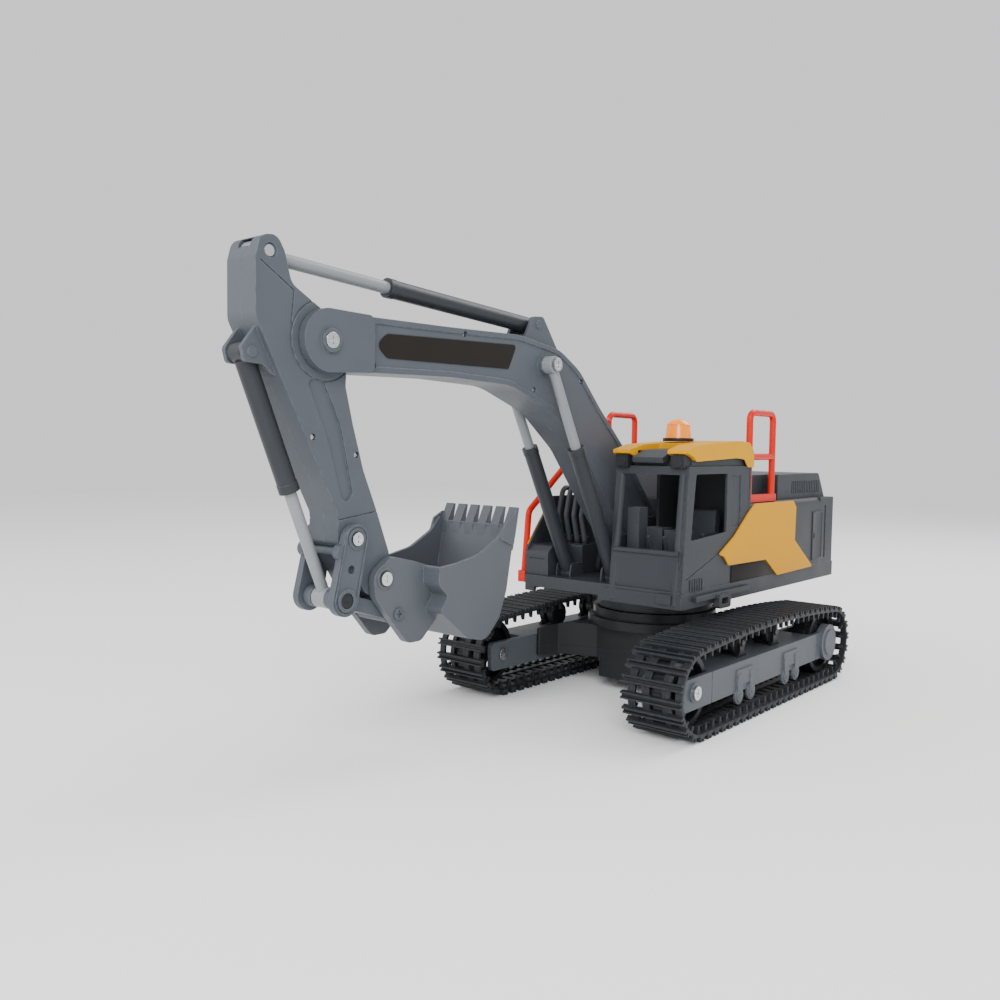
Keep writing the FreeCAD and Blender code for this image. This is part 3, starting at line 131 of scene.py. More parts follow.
@dataclass(frozen=True)
class MouldedPlastic:
    """Injection-moulded plastic such as ABS, from a spark-eroded mould.

    The mould's fine texture gives a soft satin sheen, edges are painted a little lighter in broken
    patches, partly as handling wear and partly as a painted highlight, and dust and flow marks shift the
    colour slowly over tens of millimetres.
    """

    name: str
    colour: str
    edge_wear_and_highlight_colour: str
    dust_colour: str
    roughness: float = 0.42
    grain_mm: float = 0.55
    grain_depth_mm: float = 0.02
    edge_mm: float = 0.7
    mottle: float = 0.30
    ior: float = 1.53
    gloss_level: float = 0.22

    def build(self) -> bpy.types.Material:
        """Make the material's nodes.

        Returns:
            The finished material.
        """
        material, tree = blank_material(self.name)
        place = add_node(tree, "TexCoord").outputs["Object"]
        edge, rounded = edge_mask(tree, self.edge_mm)
        cloud = add_node(tree, "TexNoise", {}, {"Vector": place, "Scale": per_mm(45), "Detail": 5.0,
                                                "Roughness": 0.62})
        fleck = add_node(tree, "TexNoise", {}, {"Vector": place, "Scale": per_mm(3.2), "Detail": 3.0})
        grain = add_node(tree, "TexNoise", {}, {"Vector": place, "Scale": per_mm(self.grain_mm),
                                                "Detail": 2.0})
        dusty = add_node(tree, "MapRange", {}, {"Value": cloud.outputs["Fac"], "From Min": 0.38,
                                                "From Max": 0.72, "To Max": self.mottle})
        body = add_node(tree, "Mix", {"data_type": "RGBA"}, {"Factor": dusty.outputs["Result"],
                        "A": srgb(self.colour), "B": srgb(self.dust_colour)})
        broken = add_node(tree, "MapRange", {}, {"Value": fleck.outputs["Fac"], "From Min": 0.35,
                                                 "From Max": 0.60, "To Max": 0.65})
        # Edges take the lighter colour in broken patches: partly handling wear, partly a painted highlight
        # along the edges.
        worn_and_highlit_edges = add_node(tree, "Math", {"operation": "MULTIPLY"}, {0: edge, 1: broken.outputs["Result"]})
        skin = add_node(tree, "Mix", {"data_type": "RGBA"}, {"Factor": worn_and_highlit_edges.outputs["Value"],
                        "A": body.outputs["Result"], "B": srgb(self.edge_wear_and_highlight_colour)})
        gloss = add_node(tree, "MapRange", {}, {"Value": cloud.outputs["Fac"], "From Min": 0.3,
                         "From Max": 0.7, "To Min": self.roughness - 0.05, "To Max": self.roughness + 0.08})
        bump = add_node(tree, "Bump", {}, {"Height": grain.outputs["Fac"], "Normal": rounded,
                                           "Distance": self.grain_depth_mm * MM, "Strength": 0.8})
        shader = add_node(tree, "BsdfPrincipled", {}, {"Base Color": skin.outputs["Result"],
                          "Roughness": gloss.outputs["Result"], "Normal": bump.outputs["Normal"],
                          "IOR": self.ior, "Specular IOR Level": self.gloss_level})
        add_node(tree, "OutputMaterial", {}, {"Surface": shader.outputs["BSDF"]})
        return material


@dataclass(frozen=True)
class PlatedSteel:
    """Chromed or turned steel: bright, with fine turning rings and a few dull handling marks."""

    name: str
    colour: str
    roughness: float
    ring_mm: float = 0.6

    def build(self) -> bpy.types.Material:
        """Make the material's nodes.

        Returns:
            The finished material.
        """
        material, tree = blank_material(self.name)
        place = add_node(tree, "TexCoord").outputs["Object"]
        edge, rounded = edge_mask(tree, 0.3)
        marks = add_node(tree, "TexNoise", {}, {"Vector": place, "Scale": per_mm(4), "Detail": 6.0})
        fine = add_node(tree, "TexNoise", {}, {"Vector": place, "Scale": per_mm(self.ring_mm),
                                               "Detail": 2.0})
        # Edges are mixed towards near white: a painted highlight along the steel's edges.
        edge_glint_tint = add_node(tree, "Mix", {"data_type": "RGBA"}, {"Factor": edge, "A": srgb(self.colour),
                                                             "B": srgb("#f2f3f5")})
        dull = add_node(tree, "MapRange", {}, {"Value": marks.outputs["Fac"], "From Min": 0.35,
                        "From Max": 0.75, "To Min": self.roughness - 0.06, "To Max": self.roughness + 0.14})
        bump = add_node(tree, "Bump", {}, {"Height": fine.outputs["Fac"], "Normal": rounded, "Strength": 0.4,
                                           "Distance": 0.01 * MM})
        shader = add_node(tree, "BsdfPrincipled", {}, {"Base Color": edge_glint_tint.outputs["Result"], "Metallic": 1.0,
                          "Roughness": dull.outputs["Result"], "Normal": bump.outputs["Normal"]})
        add_node(tree, "OutputMaterial", {}, {"Surface": shader.outputs["BSDF"]})
        return material


@dataclass(frozen=True)
class ClearPlastic:
    """Clear or tinted polystyrene: sharp gloss and a little body, with light ripples from the mould."""

    name: str
    colour: str
    transmission: float
    glow: float = 0.0
    glow_colour: str = "#ffb338"

    def build(self) -> bpy.types.Material:
        """Make the material's nodes.

        Returns:
            The finished material.
        """
        material, tree = blank_material(self.name)
        place = add_node(tree, "TexCoord").outputs["Object"]
        ripple = add_node(tree, "TexNoise", {}, {"Vector": place, "Scale": per_mm(2.5), "Detail": 2.0})
        shade = add_node(tree, "Mix", {"data_type": "RGBA"}, {"Factor": ripple.outputs["Fac"],
                         "A": srgb(self.colour), "B": srgb(self.glow_colour)})
        rough = add_node(tree, "MapRange", {}, {"Value": ripple.outputs["Fac"], "To Min": 0.05,
                                                "To Max": 0.2})
        bump = add_node(tree, "Bump", {}, {"Height": ripple.outputs["Fac"], "Distance": 0.05 * MM,
                                           "Strength": 0.5})
        shader = add_node(tree, "BsdfPrincipled", {}, {"Base Color": shade.outputs["Result"], "IOR": 1.55,
                          "Roughness": rough.outputs["Result"], "Normal": bump.outputs["Normal"],
                          "Transmission Weight": self.transmission, "Emission Color": srgb(self.glow_colour),
                          "Emission Strength": self.glow})
        add_node(tree, "OutputMaterial", {}, {"Surface": shader.outputs["BSDF"]})
        return material


class Finish(Enum):
    """Every finish on the toy, by the maker's name for it."""

    # Colours given: own colour, lighter edge colour (part handling wear, part painted highlight), dust
    # colour.
    SLATE_ABS = MouldedPlastic("slate_abs_moulded", "#474c53", "#7a8088", "#50565d")
    HOUSE_ABS = MouldedPlastic("house_abs_moulded", "#303338", "#5b6066", "#383c41", roughness=0.45)
    BARREL_ABS = MouldedPlastic("barrel_abs_moulded", "#292c30", "#565b61", "#33373b", roughness=0.38)
    BUCKET_ABS = MouldedPlastic("bucket_abs_moulded", "#4c5056", "#7e8389", "#565b61", roughness=0.40)
    FRAME_ABS = MouldedPlastic("undercarriage_abs_moulded", "#4e5359", "#7e8389", "#585d63", roughness=0.45)
    BLACK_ABS = MouldedPlastic("black_abs_moulded", "#1d1f22", "#3a3d41", "#2a2c30", roughness=0.40)
    CAB_GREY = MouldedPlastic("cab_interior_abs_moulded", "#33363b", "#565a60", "#42464b", roughness=0.5)
    YELLOW_ABS = MouldedPlastic("yellow_abs_gloss", "#cc9000", "#e6ac18", "#d39800", roughness=0.45,
                                gloss_level=0.1,
                                grain_depth_mm=0.008, mottle=0.5)
    RAIL_ORANGE = MouldedPlastic("orange_rail_abs", "#c81400", "#e04a20", "#ce1c04", roughness=0.33,
                                 grain_depth_mm=0.008, mottle=0.5)
    ROD_SILVER = MouldedPlastic("silver_rod_abs", "#7d8084", "#a9acb0", "#888b8f", roughness=0.34,
                                grain_depth_mm=0.006)
    BELT_RUBBER = MouldedPlastic("belt_soft_pvc", "#232529", "#5a5e63", "#2e3135", roughness=0.48,
                                 grain_depth_mm=0.04, edge_mm=0.5)
    HOSE_RUBBER = MouldedPlastic("hose_soft_pvc", "#3b3e43", "#5d6167", "#4a4e54", roughness=0.5,
                                 edge_mm=0.4)
    LABEL_FILM = MouldedPlastic("dark_label_film", "#1e1b19", "#433f3c", "#25211f", roughness=0.45,
                                grain_depth_mm=0.004, gloss_level=0.1)
    BOARD_GREEN = MouldedPlastic("circuit_board_mask", "#0f5b2e", "#7da88b", "#17703a", roughness=0.35)
    CELL_WRAP = MouldedPlastic("battery_shrink_wrap", "#1c3f7a", "#4b6ea8", "#26508f", roughness=0.35)
    CHROME = PlatedSteel("chromed_steel", "#c9cbce", 0.22)
    MOTOR_CAN = PlatedSteel("zinc_plated_steel", "#8f9296", 0.38)
    AMBER_LENS = ClearPlastic("amber_polystyrene", "#c86400", 0.1, glow=0.45, glow_colour="#ff9600")


class Paintbox:
    """Builds each finish once and hands it out."""

    def __init__(self) -> None:
        """Start with no material made."""
        self.made: dict[Finish, bpy.types.Material] = {}

    def get(self, finish: Finish) -> bpy.types.Material:
        """The material of a finish, built at its first use."""
        if finish not in self.made:
            self.made[finish] = finish.value.build()
        return self.made[finish]

    def coat(self, thing: bpy.types.Object, finish: Finish) -> None:
        """Put a finish on every material slot of an object."""
        if not thing.material_slots:
            thing.data.materials.append(self.get(finish))
        for place in thing.material_slots:
            place.material = self.get(finish)


NODE_FINISHES: dict[Finish, tuple[str, ...]] = {
    Finish.SLATE_ABS: ("boom_shell_left", "boom_shell_right", "stick_shell_left", "stick_shell_right",
                       "rocker_links", "link_bar", "bucket_link_pin"),
    Finish.HOUSE_ABS: ("deck", "engine_body", "counterweight", "engine_hood", "tank_block", "cab_shell",
                       "side_steps", "battery_door", "roof_visor"),
    Finish.BARREL_ABS: ("boom_barrels", "arm_barrel", "bucket_barrel"),
    Finish.BUCKET_ABS: ("bucket",),
    Finish.FRAME_ABS: ("track_beam_left", "track_beam_right", "beam_cover_left", "beam_cover_right"),
    Finish.BLACK_ABS: ("idler_left", "idler_right", "sprocket_left", "sprocket_right", "lamp_blocks",
                       "slew_motor", "power_switch", "chassis_lower", "chassis_upper", "slew_ring_base",
                       "carrier_brackets"),
    Finish.CAB_GREY: ("operator_seat", "cab_console", "control_levers"),
    Finish.YELLOW_ABS: ("side_panel_left", "side_panel_right", "cab_roof"),
    Finish.RAIL_ORANGE: ("handrail_left", "handrail_right"),
    Finish.ROD_SILVER: ("boom_rods", "arm_rod", "bucket_rod"),
    Finish.BELT_RUBBER: ("track_belt_left", "track_belt_right"),
    Finish.HOSE_RUBBER: ("hose_bundle",),
    Finish.LABEL_FILM: ("label_plates",),
    Finish.BOARD_GREEN: ("circuit_board",),
    Finish.CELL_WRAP: ("battery_pack",),
    Finish.CHROME: ("chassis_screws", "idler_axles", "house_pins", "house_screws", "boom_pins",
                    "stick_pins"),
    Finish.MOTOR_CAN: ("drive_motors",),
    Finish.AMBER_LENS: ("beacon_lens",),
}


# ------------------------------------------------------------------ studio

@dataclass
class Studio:
    """A pale floor, a bright sky, three soft lights and the camera."""

    floor_size: float = 6.0
    camera_place: Point = (0.56225, 0.395, 0.190)
    yaw_deg: float = 220.637
    down_deg: float = 3.241
    roll_deg: float = 0.763
    lens_mm: float = 33.66
    sensor_mm: float = 36.0
    sky_strength: float = 1.0
    aim: Point = (0.0, 0.0, 0.1)
    lights: tuple[tuple[str, Point, float, float], ...] = (("key", (1.2, 0.8, 1.0), 0.9, 24.0),
                                                           ("fill", (1.2, -0.9, 0.8), 1.5, 10.0),
                                                           ("back", (-1.2, 0.3, 1.4), 1.0, 18.0))

    def build(self) -> None:
        """Lay the floor, hang the lights and set the camera."""
        self.lay_floor()
        self.hang_lights()
        self.set_camera()
        log.info("studio: floor, lights, camera")

    def lay_floor(self) -> None:
        """Make the floor and its near-white matt finish."""
        bpy.ops.mesh.primitive_plane_add(size=self.floor_size, location=(0, 0, -0.0005))
        floor = bpy.context.object
        floor.name = "studio_floor"
        material, tree = blank_material("studio_paper")
        shader = add_node(tree, "BsdfPrincipled", {}, {"Base Color": srgb("#fbfbfb"), "Roughness": 0.9})
        add_node(tree, "OutputMaterial", {}, {"Surface": shader.outputs["BSDF"]})
        floor.data.materials.append(material)

    def hang_lights(self) -> None:
        """Set a bright sky, a key light, a fill and a back light."""
        world = bpy.data.worlds.new("studio_sky")
        bpy.context.scene.world = world
        world.use_nodes = True
        world.node_tree.nodes["Background"].inputs["Color"].default_value = (1, 1, 1, 1)
        world.node_tree.nodes["Background"].inputs["Strength"].default_value = self.sky_strength
        for name, place, size, watts in self.lights:
            light = bpy.data.lights.new(name, "AREA")
            light.size = size
            light.energy = watts
            lamp = bpy.data.objects.new(name, light)
            lamp.location = place
            lamp.rotation_euler = (Vector(self.aim) - Vector(place)).to_track_quat("-Z", "Y").to_euler()
            bpy.context.scene.collection.objects.link(lamp)

    def set_camera(self) -> None:
        """Place and aim the camera."""
        yaw, down, roll = (math.radians(v) for v in (self.yaw_deg, self.down_deg, self.roll_deg))
        ahead = Vector((math.cos(yaw) * math.cos(down), math.sin(yaw) * math.cos(down), -math.sin(down)))
        right = ahead.cross(Vector((0, 0, 1))).normalized()
        up = right.cross(ahead)
        side = right * math.cos(roll) + up * math.sin(roll)
        top = up * math.cos(roll) - right * math.sin(roll)
        lens = bpy.data.cameras.new("camera")
        lens.lens = self.lens_mm
        lens.sensor_width = self.sensor_mm
        lens.clip_start = 0.01
        camera = bpy.data.objects.new("camera", lens)
        turn = Matrix((side, top, -ahead)).transposed().to_4x4()
        camera.matrix_world = Matrix.Translation(Vector(self.camera_place)) @ turn
        bpy.context.scene.collection.objects.link(camera)
        bpy.context.scene.camera = camera


# ------------------------------------------------------------------ small tools for shapes

class Axis(Enum):
    """Direction that a new round piece points along, as the turn that brings it there from upright."""

    X = (0.0, math.pi / 2, 0.0)
    Y = (math.pi / 2, 0.0, 0.0)
    Z = (0.0, 0.0, 0.0)


def side_word(side: int) -> str:
    """The word for a side: left for +1, right for -1."""
    return "left" if side > 0 else "right"


def deselect() -> None:
    """Leave object mode's selection empty."""
    if bpy.context.object and bpy.context.object.mode != "OBJECT":
        bpy.ops.object.mode_set(mode="OBJECT")
    bpy.ops.object.select_all(action="DESELECT")


def pivot(joint: str) -> Vector:
    """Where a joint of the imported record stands, in metres."""
    found = next(j for j in frame["record"]["behaviour"]["joints"] if j["name"] == joint)
    return Vector(found["pos_m"])


def settle(thing: bpy.types.Object) -> None:
    """Put an object's place, turn and size into its mesh."""
    bpy.ops.object.transform_apply(location=True, rotation=True, scale=True)
    thing.select_set(True)


def start_cylinder(name: str, centre: Vector, axis: Axis, radius_mm: float, depth_mm: float,
                   sides: int = 40) -> bpy.types.Object:
    """Add a round blank to be shaped.

    Args:
        name: the piece's name.
        centre: its middle, in metres.
        axis: the direction of its length.
        radius_mm: its radius.
        depth_mm: its length.
        sides: number of flats round it.

    Returns:
        The blank, with its place in its mesh.
    """
    deselect()
    bpy.ops.mesh.primitive_cylinder_add(vertices=sides, radius=radius_mm * MM, depth=depth_mm * MM,
                                        location=centre, rotation=axis.value)
    thing = bpy.context.object
    thing.name = name
    settle(thing)
    return thing


def start_block(name: str, centre: Vector, size_mm: Point) -> bpy.types.Object:
    """Add a square blank to be shaped.

    Args:
        name: the piece's name.
        centre: its middle, in metres.
        size_mm: its size along X, Y and Z.

    Returns:
        The blank, with its place in its mesh.
    """
    deselect()
    bpy.ops.mesh.primitive_cube_add(size=1.0, location=centre, scale=[v * MM for v in size_mm])
    thing = bpy.context.object
    thing.name = name
    settle(thing)
    return thing


def pick_faces(thing: bpy.types.Object, test: Callable[[Vector, Vector], bool]) -> None:
    """In edit mode, select only the faces whose middle and normal pass a test."""
    bpy.ops.mesh.select_mode(type="FACE")
    bpy.ops.mesh.select_all(action="DESELECT")
    mesh = bmesh.from_edit_mesh(thing.data)
    mesh.normal_update()
    for face in mesh.faces:
        face.select_set(test(face.calc_center_median(), face.normal))
    bmesh.update_edit_mesh(thing.data)


def pick_points(thing: bpy.types.Object, test: Callable[[Vector], bool]) -> None:
    """In edit mode, select only the points whose place passes a test."""
    bpy.ops.mesh.select_mode(type="VERT")
    bpy.ops.mesh.select_all(action="DESELECT")
    mesh = bmesh.from_edit_mesh(thing.data)
    for point in mesh.verts:
        point.select_set(test(point.co))
    mesh.select_flush(True)
    bmesh.update_edit_mesh(thing.data)


def open_edit(thing: bpy.types.Object) -> None:
    """Go into edit mode on one object."""
    deselect()
    bpy.context.view_layer.objects.active = thing
    thing.select_set(True)
    bpy.ops.object.mode_set(mode="EDIT")


def close_edit() -> None:
    """Go back to object mode."""
    bpy.ops.object.mode_set(mode="OBJECT")


def apply_bevel(thing: bpy.types.Object, width_mm: float, steps: int = 2) -> None:
    """Round a piece's sharp edges by a bevel of a width and a number of steps."""
    deselect()
    bpy.context.view_layer.objects.active = thing
    thing.select_set(True)
    rounding = thing.modifiers.new("rounding", "BEVEL")
    rounding.width = width_mm * MM
    rounding.segments = steps
    rounding.limit_method = "ANGLE"
    rounding.angle_limit = math.radians(38)
    bpy.ops.object.modifier_apply(modifier=rounding.name)


def cut_away(thing: bpy.types.Object, cutter: bpy.types.Object) -> None:
    """Cut one solid out of another and throw the cutter away."""
    deselect()
    bpy.context.view_layer.objects.active = thing
    thing.select_set(True)
    cut = thing.modifiers.new("cut", "BOOLEAN")
    cut.operation = "DIFFERENCE"
    cut.object = cutter
    bpy.ops.object.modifier_apply(modifier=cut.name)
    bpy.data.objects.remove(cutter)


def join_pieces(name: str, things: list[bpy.types.Object]) -> bpy.types.Object:
    """Make several objects one, under a name."""
    deselect()
    for thing in things:
        thing.select_set(True)
    bpy.context.view_layer.objects.active = things[0]
    bpy.ops.object.join()
    things[0].name = name
    return things[0]


def copy_piece(thing: bpy.types.Object, name: str, move: Matrix) -> bpy.types.Object:
    """Copy a piece with a mesh of its own, moved or turned by a matrix."""
    twin = thing.copy()
    twin.data = thing.data.copy()
    twin.data.transform(move)
    twin.name = name
    bpy.context.scene.collection.objects.link(twin)
    return twin


class Fitter:
    """Dresses finished pieces and hangs them on the toy's bodies."""

    def __init__(self, paints: Paintbox) -> None:
        """Keep the paints.

        Args:
            paints: where finishes come from.
        """
        self.paints = paints
        self.count = 0

    def fit(self, thing: bpy.types.Object, body: str, finish: Finish, slot: str,
            smooth: float = 35.0) -> None:
        """Smooth, paint and hang one piece.

        Args:
            thing: the piece, in place.
            body: the CAD body it rides on.
            finish: its finish.
            slot: the record's material slot; not used.
            smooth: edges flatter than this many degrees look smooth.
        """
        deselect()
        bpy.context.view_layer.objects.active = thing
        thing.select_set(True)
        bpy.ops.object.shade_smooth_by_angle(angle=math.radians(smooth))
        self.paints.coat(thing, finish)
        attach(thing, body)
        self.count += 1
        log.info("piece %s on %s: %d faces", thing.name, body, len(thing.data.polygons))


# ------------------------------------------------------------------ screws and rings

@dataclass
class CrossScrew:
    """Small pan-head screw with a cross recess, as sits deep in the moulded holes."""

    radius_mm: float = 1.75
    thick_mm: float = 1.2
    slot_mm: float = 0.5

    def build(self, name: str) -> bpy.types.Object:
        """Model the head at the origin, facing +Y.

        Args:
            name: the piece's name.

        Returns:
            The screw head.
        """
        head = start_cylinder(name, Vector((0, 0, 0)), Axis.Y, self.radius_mm, self.thick_mm, 28)
        open_edit(head)
        pick_faces(head, lambda middle, normal: normal.y > 0.9)
        bpy.ops.mesh.inset(thickness=0.45 * MM)
        bpy.ops.transform.translate(value=(0, 0.25 * MM, 0))
        close_edit()
        long_side = self.radius_mm * 1.25
        for turn in ((long_side, 0.8, self.slot_mm), (self.slot_mm, 0.8, long_side)):
            cutter = start_block("slot_cutter", Vector((0, (self.thick_mm / 2 + 0.2) * MM, 0)), turn)
            cut_away(head, cutter)
        apply_bevel(head, 0.08, 1)
        return head


@dataclass
class Ring:
    """Moulded ring that stands round a pin on a plate."""

    inner_mm: float
    outer_mm: float
    high_mm: float

    def build(self, name: str, foot: Vector, side: int) -> bpy.types.Object:
        """Model the ring.

        Args:
            name: the piece's name.
            foot: the middle of its face on the plate.
            side: +1 or -1, the way along Y that it stands up.

        Returns:
            The ring.
        """
        middle = foot + Vector((0, side * self.high_mm / 2 * MM, 0))
        ring = start_cylinder(name, middle, Axis.Y, self.outer_mm, self.high_mm, 48)
        open_edit(ring)
        pick_faces(ring, lambda place, normal: abs(normal.y) > 0.9)
        bpy.ops.mesh.inset(thickness=(self.outer_mm - self.inner_mm) * MM, use_individual=True)
        bpy.ops.mesh.bridge_edge_loops()
        close_edit()
        apply_bevel(ring, min(0.25, self.high_mm * 0.3))
        return ring


# ------------------------------------------------------------------ arm

@dataclass
class ArmDetails:
    """Screws in the boom and stick, rims and rings on the linkage, a hub plug at the rocker's end."""

    fitter: Fitter
    boom_holes_mm: tuple[tuple[float, float], ...] = ((-33.8, -10.4), (-109.0, 14.3), (-179.0, -16.4),
                                                      (-233.0, -7.4))
    stick_holes_mm: tuple[tuple[float, float], ...] = ((7.0, -51.4), (-23.0, -60.9))
    hole_depth_mm: float = 2.2
    rocker_half_mm: float = 17.8
    ear_half_mm: float = 18.2
    rocker_radius_mm: float = 8.0

    def build(self) -> None:
        """Make every piece of the arm."""
        self.sink_screws()
        self.ring_the_pins()
        self.rim_the_rockers()
        self.plug_the_hubs()

    def sink_screws(self) -> None:
        """Copy one screw head into each hole of the boom and the stick."""
        first = CrossScrew().build("screw_pattern")
        centre = pivot("stick_swing")
        plate_low, plate_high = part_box("label_plates")
        stick_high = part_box("stick_shell_left")[1]
        boom_half = (plate_high.y - plate_low.y) / 2 - 0.6 * MM
        stick_half = stick_high.y - centre.y
        rows = ((self.boom_holes_mm, boom_half, "boom"), (self.stick_holes_mm, stick_half, "stick"))
        for holes, half, body in rows:
            for number, (x, z) in enumerate(holes):
                for side in (-1, 1):
                    place = centre + Vector((x * MM, side * (half - self.hole_depth_mm * MM), z * MM))
                    turn = Matrix.Rotation(0.0 if side > 0 else math.pi, 4, "Z")
                    word = side_word(side)
                    name = f"{body}_screw_{number}_{word}"
                    screw = copy_piece(first, name, Matrix.Translation(place) @ turn)
                    self.fitter.fit(screw, body, Finish.CHROME, "chromed_steel")
        bpy.data.objects.remove(first)

    def ring_the_pins(self) -> None:
        """Stand a ring round the rocker's pin and round the bucket's pin, on each side."""
        spots = (("rocker_pivot", self.rocker_half_mm, Ring(4.3, 6.1, 0.6), "rocker", Finish.SLATE_ABS),
                 ("bucket_tilt", self.ear_half_mm, Ring(4.7, 6.3, 0.5), "bucket", Finish.BUCKET_ABS))
        for joint, half, ring, body, finish in spots:
            for side in (-1, 1):
                foot = pivot(joint) + Vector((0, side * half * MM, 0))
                word = side_word(side)
                piece = ring.build(f"{body}_pin_ring_{word}", foot, side)
                self.fitter.fit(piece, body, finish, "grey_plastic")

    def rim_the_rockers(self) -> None:
        """Run a raised rim round the face of each rocker plate."""
        top, low = pivot("rocker_pivot"), pivot("link_pivot")
        across = Vector((low.x - top.x, 0, low.z - top.z))
        for side in (-1, 1):
            word = side_word(side)
            foot = top + Vector((0, side * (self.rocker_half_mm + 0.3) * MM, 0))
            rim = start_cylinder(f"rocker_rim_{word}", foot, Axis.Y, self.rocker_radius_mm, 0.6, 48)
            open_edit(rim)
            pick_points(rim, lambda point: (point - foot).dot(across) > 1e-9)
            bpy.ops.transform.translate(value=across)
            pick_faces(rim, lambda place, normal: abs(normal.y) > 0.9)
            bpy.ops.mesh.inset(thickness=1.2 * MM, use_individual=True)
            bpy.ops.mesh.bridge_edge_loops()
            close_edit()
            apply_bevel(rim, 0.2)
            self.fitter.fit(rim, "rocker", Finish.SLATE_ABS, "grey_plastic")

    def plug_the_hubs(self) -> None:
        """Set a black plug with a six-sided recess in the ring at each rocker's lower end."""
        for side in (-1, 1):
            word = side_word(side)
            middle = pivot("link_pivot") + Vector((0, side * (self.rocker_half_mm + 0.7) * MM, 0))
            plug = start_cylinder(f"rocker_plug_{word}", middle, Axis.Y, 4.2, 0.7, 42)
            outside = middle + Vector((0, side * 0.35 * MM, 0))
            cutter = start_cylinder("hex_cutter", outside, Axis.Y, 1.7, 0.7, 6)
            cut_away(plug, cutter)
            apply_bevel(plug, 0.12)
            self.fitter.fit(plug, "rocker", Finish.BLACK_ABS, "dark_plastic")


# ------------------------------------------------------------------ house

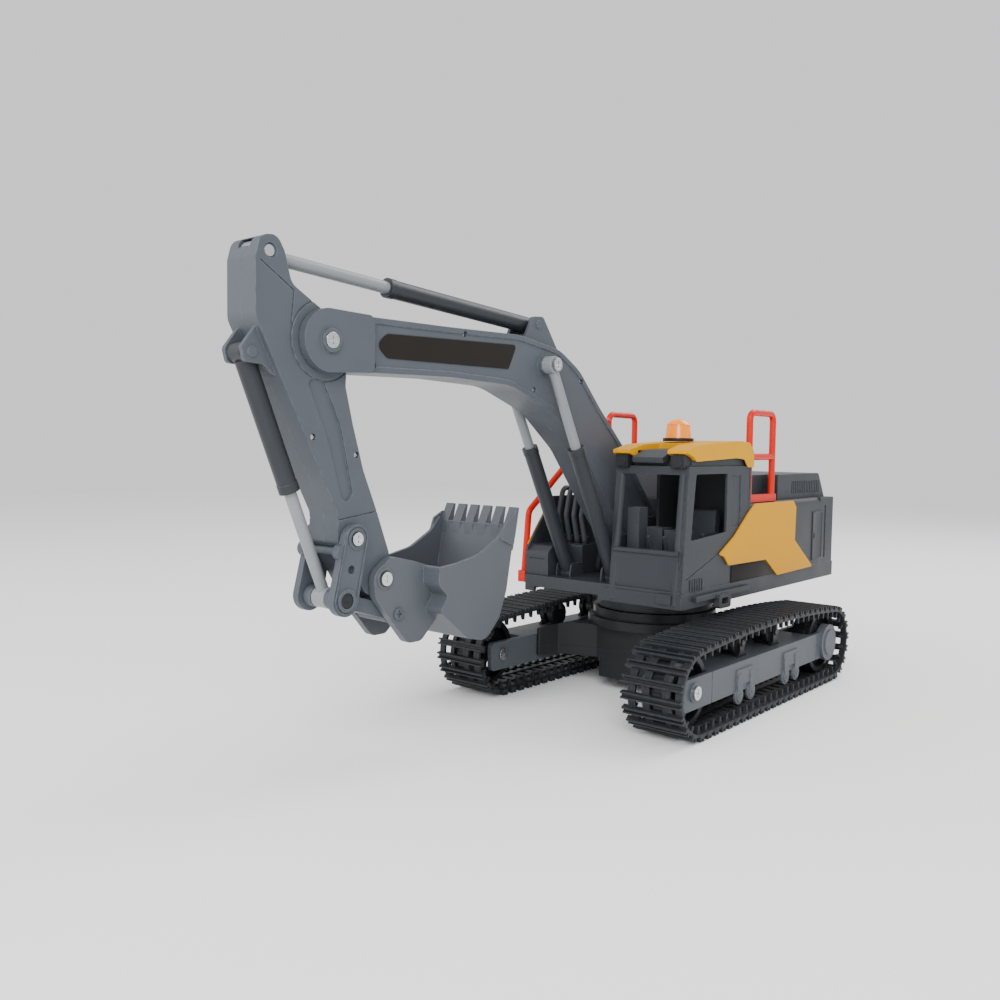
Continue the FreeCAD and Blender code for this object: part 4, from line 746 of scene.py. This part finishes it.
@dataclass
class HouseDetails:
    """Blank name plate, service panel, vents, sill tab, hose ferrules and the beacon's base."""

    fitter: Fitter
    wall_y_mm: float = 71.0
    vent_bars: int = 6
    hose_ends: int = 4
    panel_mm: tuple[float, float] = (22.0, 43.0)

    def build(self) -> None:
        """Make every piece of the house."""
        self.hang_name_plate()
        self.hang_service_panels()
        self.set_corner_vent()
        self.set_sill_tab()
        self.clamp_hoses()
        self.light_beacon()

    def hang_name_plate(self) -> None:
        """Stick a plain dark film plate, slanted at its rear end, below the yellow panel."""
        low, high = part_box("side_panel_left")
        wall = self.wall_y_mm * MM
        front, back = high.x - 20 * MM, low.x + 76 * MM
        bottom, top = low.z + 1.6 * MM, low.z + 14.0 * MM
        middle = Vector(((front + back) / 2, wall + 0.2 * MM, (bottom + top) / 2))
        plate = start_block("side_name_plate", middle, ((front - back) / MM, 0.5, (top - bottom) / MM))
        open_edit(plate)
        pick_points(plate, lambda point: point.x < middle.x and point.z > middle.z)
        bpy.ops.transform.translate(value=(19 * MM, 0, 0))
        close_edit()
        apply_bevel(plate, 0.15)
        self.fitter.fit(plate, "house", Finish.LABEL_FILM, "label_dark")

    def hang_service_panels(self) -> None:
        """Hang a framed panel near the rear of each side, with a sunk field and a small catch."""
        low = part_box("engine_body")[0]
        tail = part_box("counterweight")[0]
        wide, tall = self.panel_mm
        for side in (-1, 1):
            word = side_word(side)
            middle = Vector((tail.x + 45 * MM, side * (self.wall_y_mm + 0.35) * MM, low.z + 26 * MM))
            panel = start_block(f"service_panel_{word}", middle, (wide, 0.9, tall))
            open_edit(panel)
            pick_faces(panel, lambda place, normal: normal.y * side > 0.9)
            bpy.ops.mesh.inset(thickness=1.5 * MM)
            bpy.ops.mesh.inset(thickness=0.4 * MM)
            bpy.ops.transform.translate(value=(0, -side * 0.5 * MM, 0))
            close_edit()
            apply_bevel(panel, 0.18)
            catch = start_block("catch", middle + Vector((6.2 * MM, side * 0.2 * MM, 0)), (1.6, 0.7, 5.0))
            apply_bevel(catch, 0.2)
            whole = join_pieces(f"service_panel_{word}", [panel, catch])
            self.fitter.fit(whole, "house", Finish.HOUSE_ABS, "grey_plastic")

    def set_corner_vent(self) -> None:
        """Set a row of raised vent bars low on the cab's side, near its front corner."""
        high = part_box("cab_shell")[1]
        panel_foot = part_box("side_panel_left")[0].z
        start = Vector((high.x - 14 * MM, (self.wall_y_mm - 0.1) * MM, panel_foot + 5.0 * MM))
        bars = []
        for number in range(self.vent_bars):
            tall = 8.6 if number % 2 else 9.6
            place = start + Vector((-3.4 * number * MM, 0, 0))
            bar = start_block(f"vent_bar_{number}", place, (1.7, 1.2, tall))
            apply_bevel(bar, 0.3)
            bars.append(bar)
        self.fitter.fit(join_pieces("cab_corner_vent", bars), "house", Finish.HOUSE_ABS, "grey_plastic")

    def set_sill_tab(self) -> None:
        """Set a small rounded tab on the cab's front sill."""
        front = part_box("cab_shell")[1].x
        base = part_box("cab_shell")[0].z
        middle = Vector((front + 0.2 * MM, 57.6 * MM, base + 6.5 * MM))
        tab = start_block("cab_sill_tab", middle, (1.4, 12.0, 7.0))
        open_edit(tab)
        pick_faces(tab, lambda place, normal: normal.x > 0.9)
        bpy.ops.mesh.inset(thickness=1.1 * MM)
        bpy.ops.transform.translate(value=(-0.4 * MM, 0, 0))
        close_edit()
        apply_bevel(tab, 0.35)
        self.fitter.fit(tab, "house", Finish.HOUSE_ABS, "grey_plastic")

    def clamp_hoses(self) -> None:
        """Slip a ferrule on each hose above its shelf."""
        low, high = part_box("hose_bundle")
        spread = (high.y - low.y - 4.2 * MM) / (self.hose_ends - 1)
        for number in range(self.hose_ends):
            y = low.y + 2.1 * MM + spread * number
            foot = Vector((high.x - 8.3 * MM, y, low.z + 4.0 * MM))
            ferrule = start_cylinder(f"hose_ferrule_{number}", foot, Axis.Z, 3.1, 5.0, 24)
            open_edit(ferrule)
            pick_faces(ferrule, lambda place, normal: abs(normal.z) > 0.9)
            bpy.ops.mesh.inset(thickness=0.5 * MM, use_individual=True)
            bpy.ops.transform.resize(value=(1, 1, 1.12))
            close_edit()
            apply_bevel(ferrule, 0.2)
            self.fitter.fit(ferrule, "house", Finish.BLACK_ABS, "dark_plastic")

    def light_beacon(self) -> None:
        """Set a stepped black base under the beacon."""
        low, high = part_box("beacon_lens")
        centre = (low + high) / 2
        radius = (high.x - low.x) / 2 / MM
        base = start_cylinder("beacon_base", Vector((centre.x, centre.y, low.z + 1.2 * MM)), Axis.Z,
                              radius + 1.4, 2.4, 48)
        open_edit(base)
        pick_faces(base, lambda place, normal: normal.z > 0.9)
        bpy.ops.mesh.inset(thickness=0.8 * MM)
        bpy.ops.mesh.inset(thickness=0.5 * MM)
        bpy.ops.transform.translate(value=(0, 0, -0.5 * MM))
        close_edit()
        apply_bevel(base, 0.25)
        self.fitter.fit(base, "house", Finish.BLACK_ABS, "dark_plastic")


# ------------------------------------------------------------------ the whole toy

def main() -> None:
    """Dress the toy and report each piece."""
    paints = Paintbox()
    fitter = Fitter(paints)
    Studio().build()
    for finish, nodes in NODE_FINISHES.items():
        for node in nodes:
            paints.coat(frame["nodes"][node], finish)
    for group in (ArmDetails(fitter), HouseDetails(fitter)):
        group.build()
    log.info("%d pieces fitted", fitter.count)


if __name__ == "__main__":
    main()
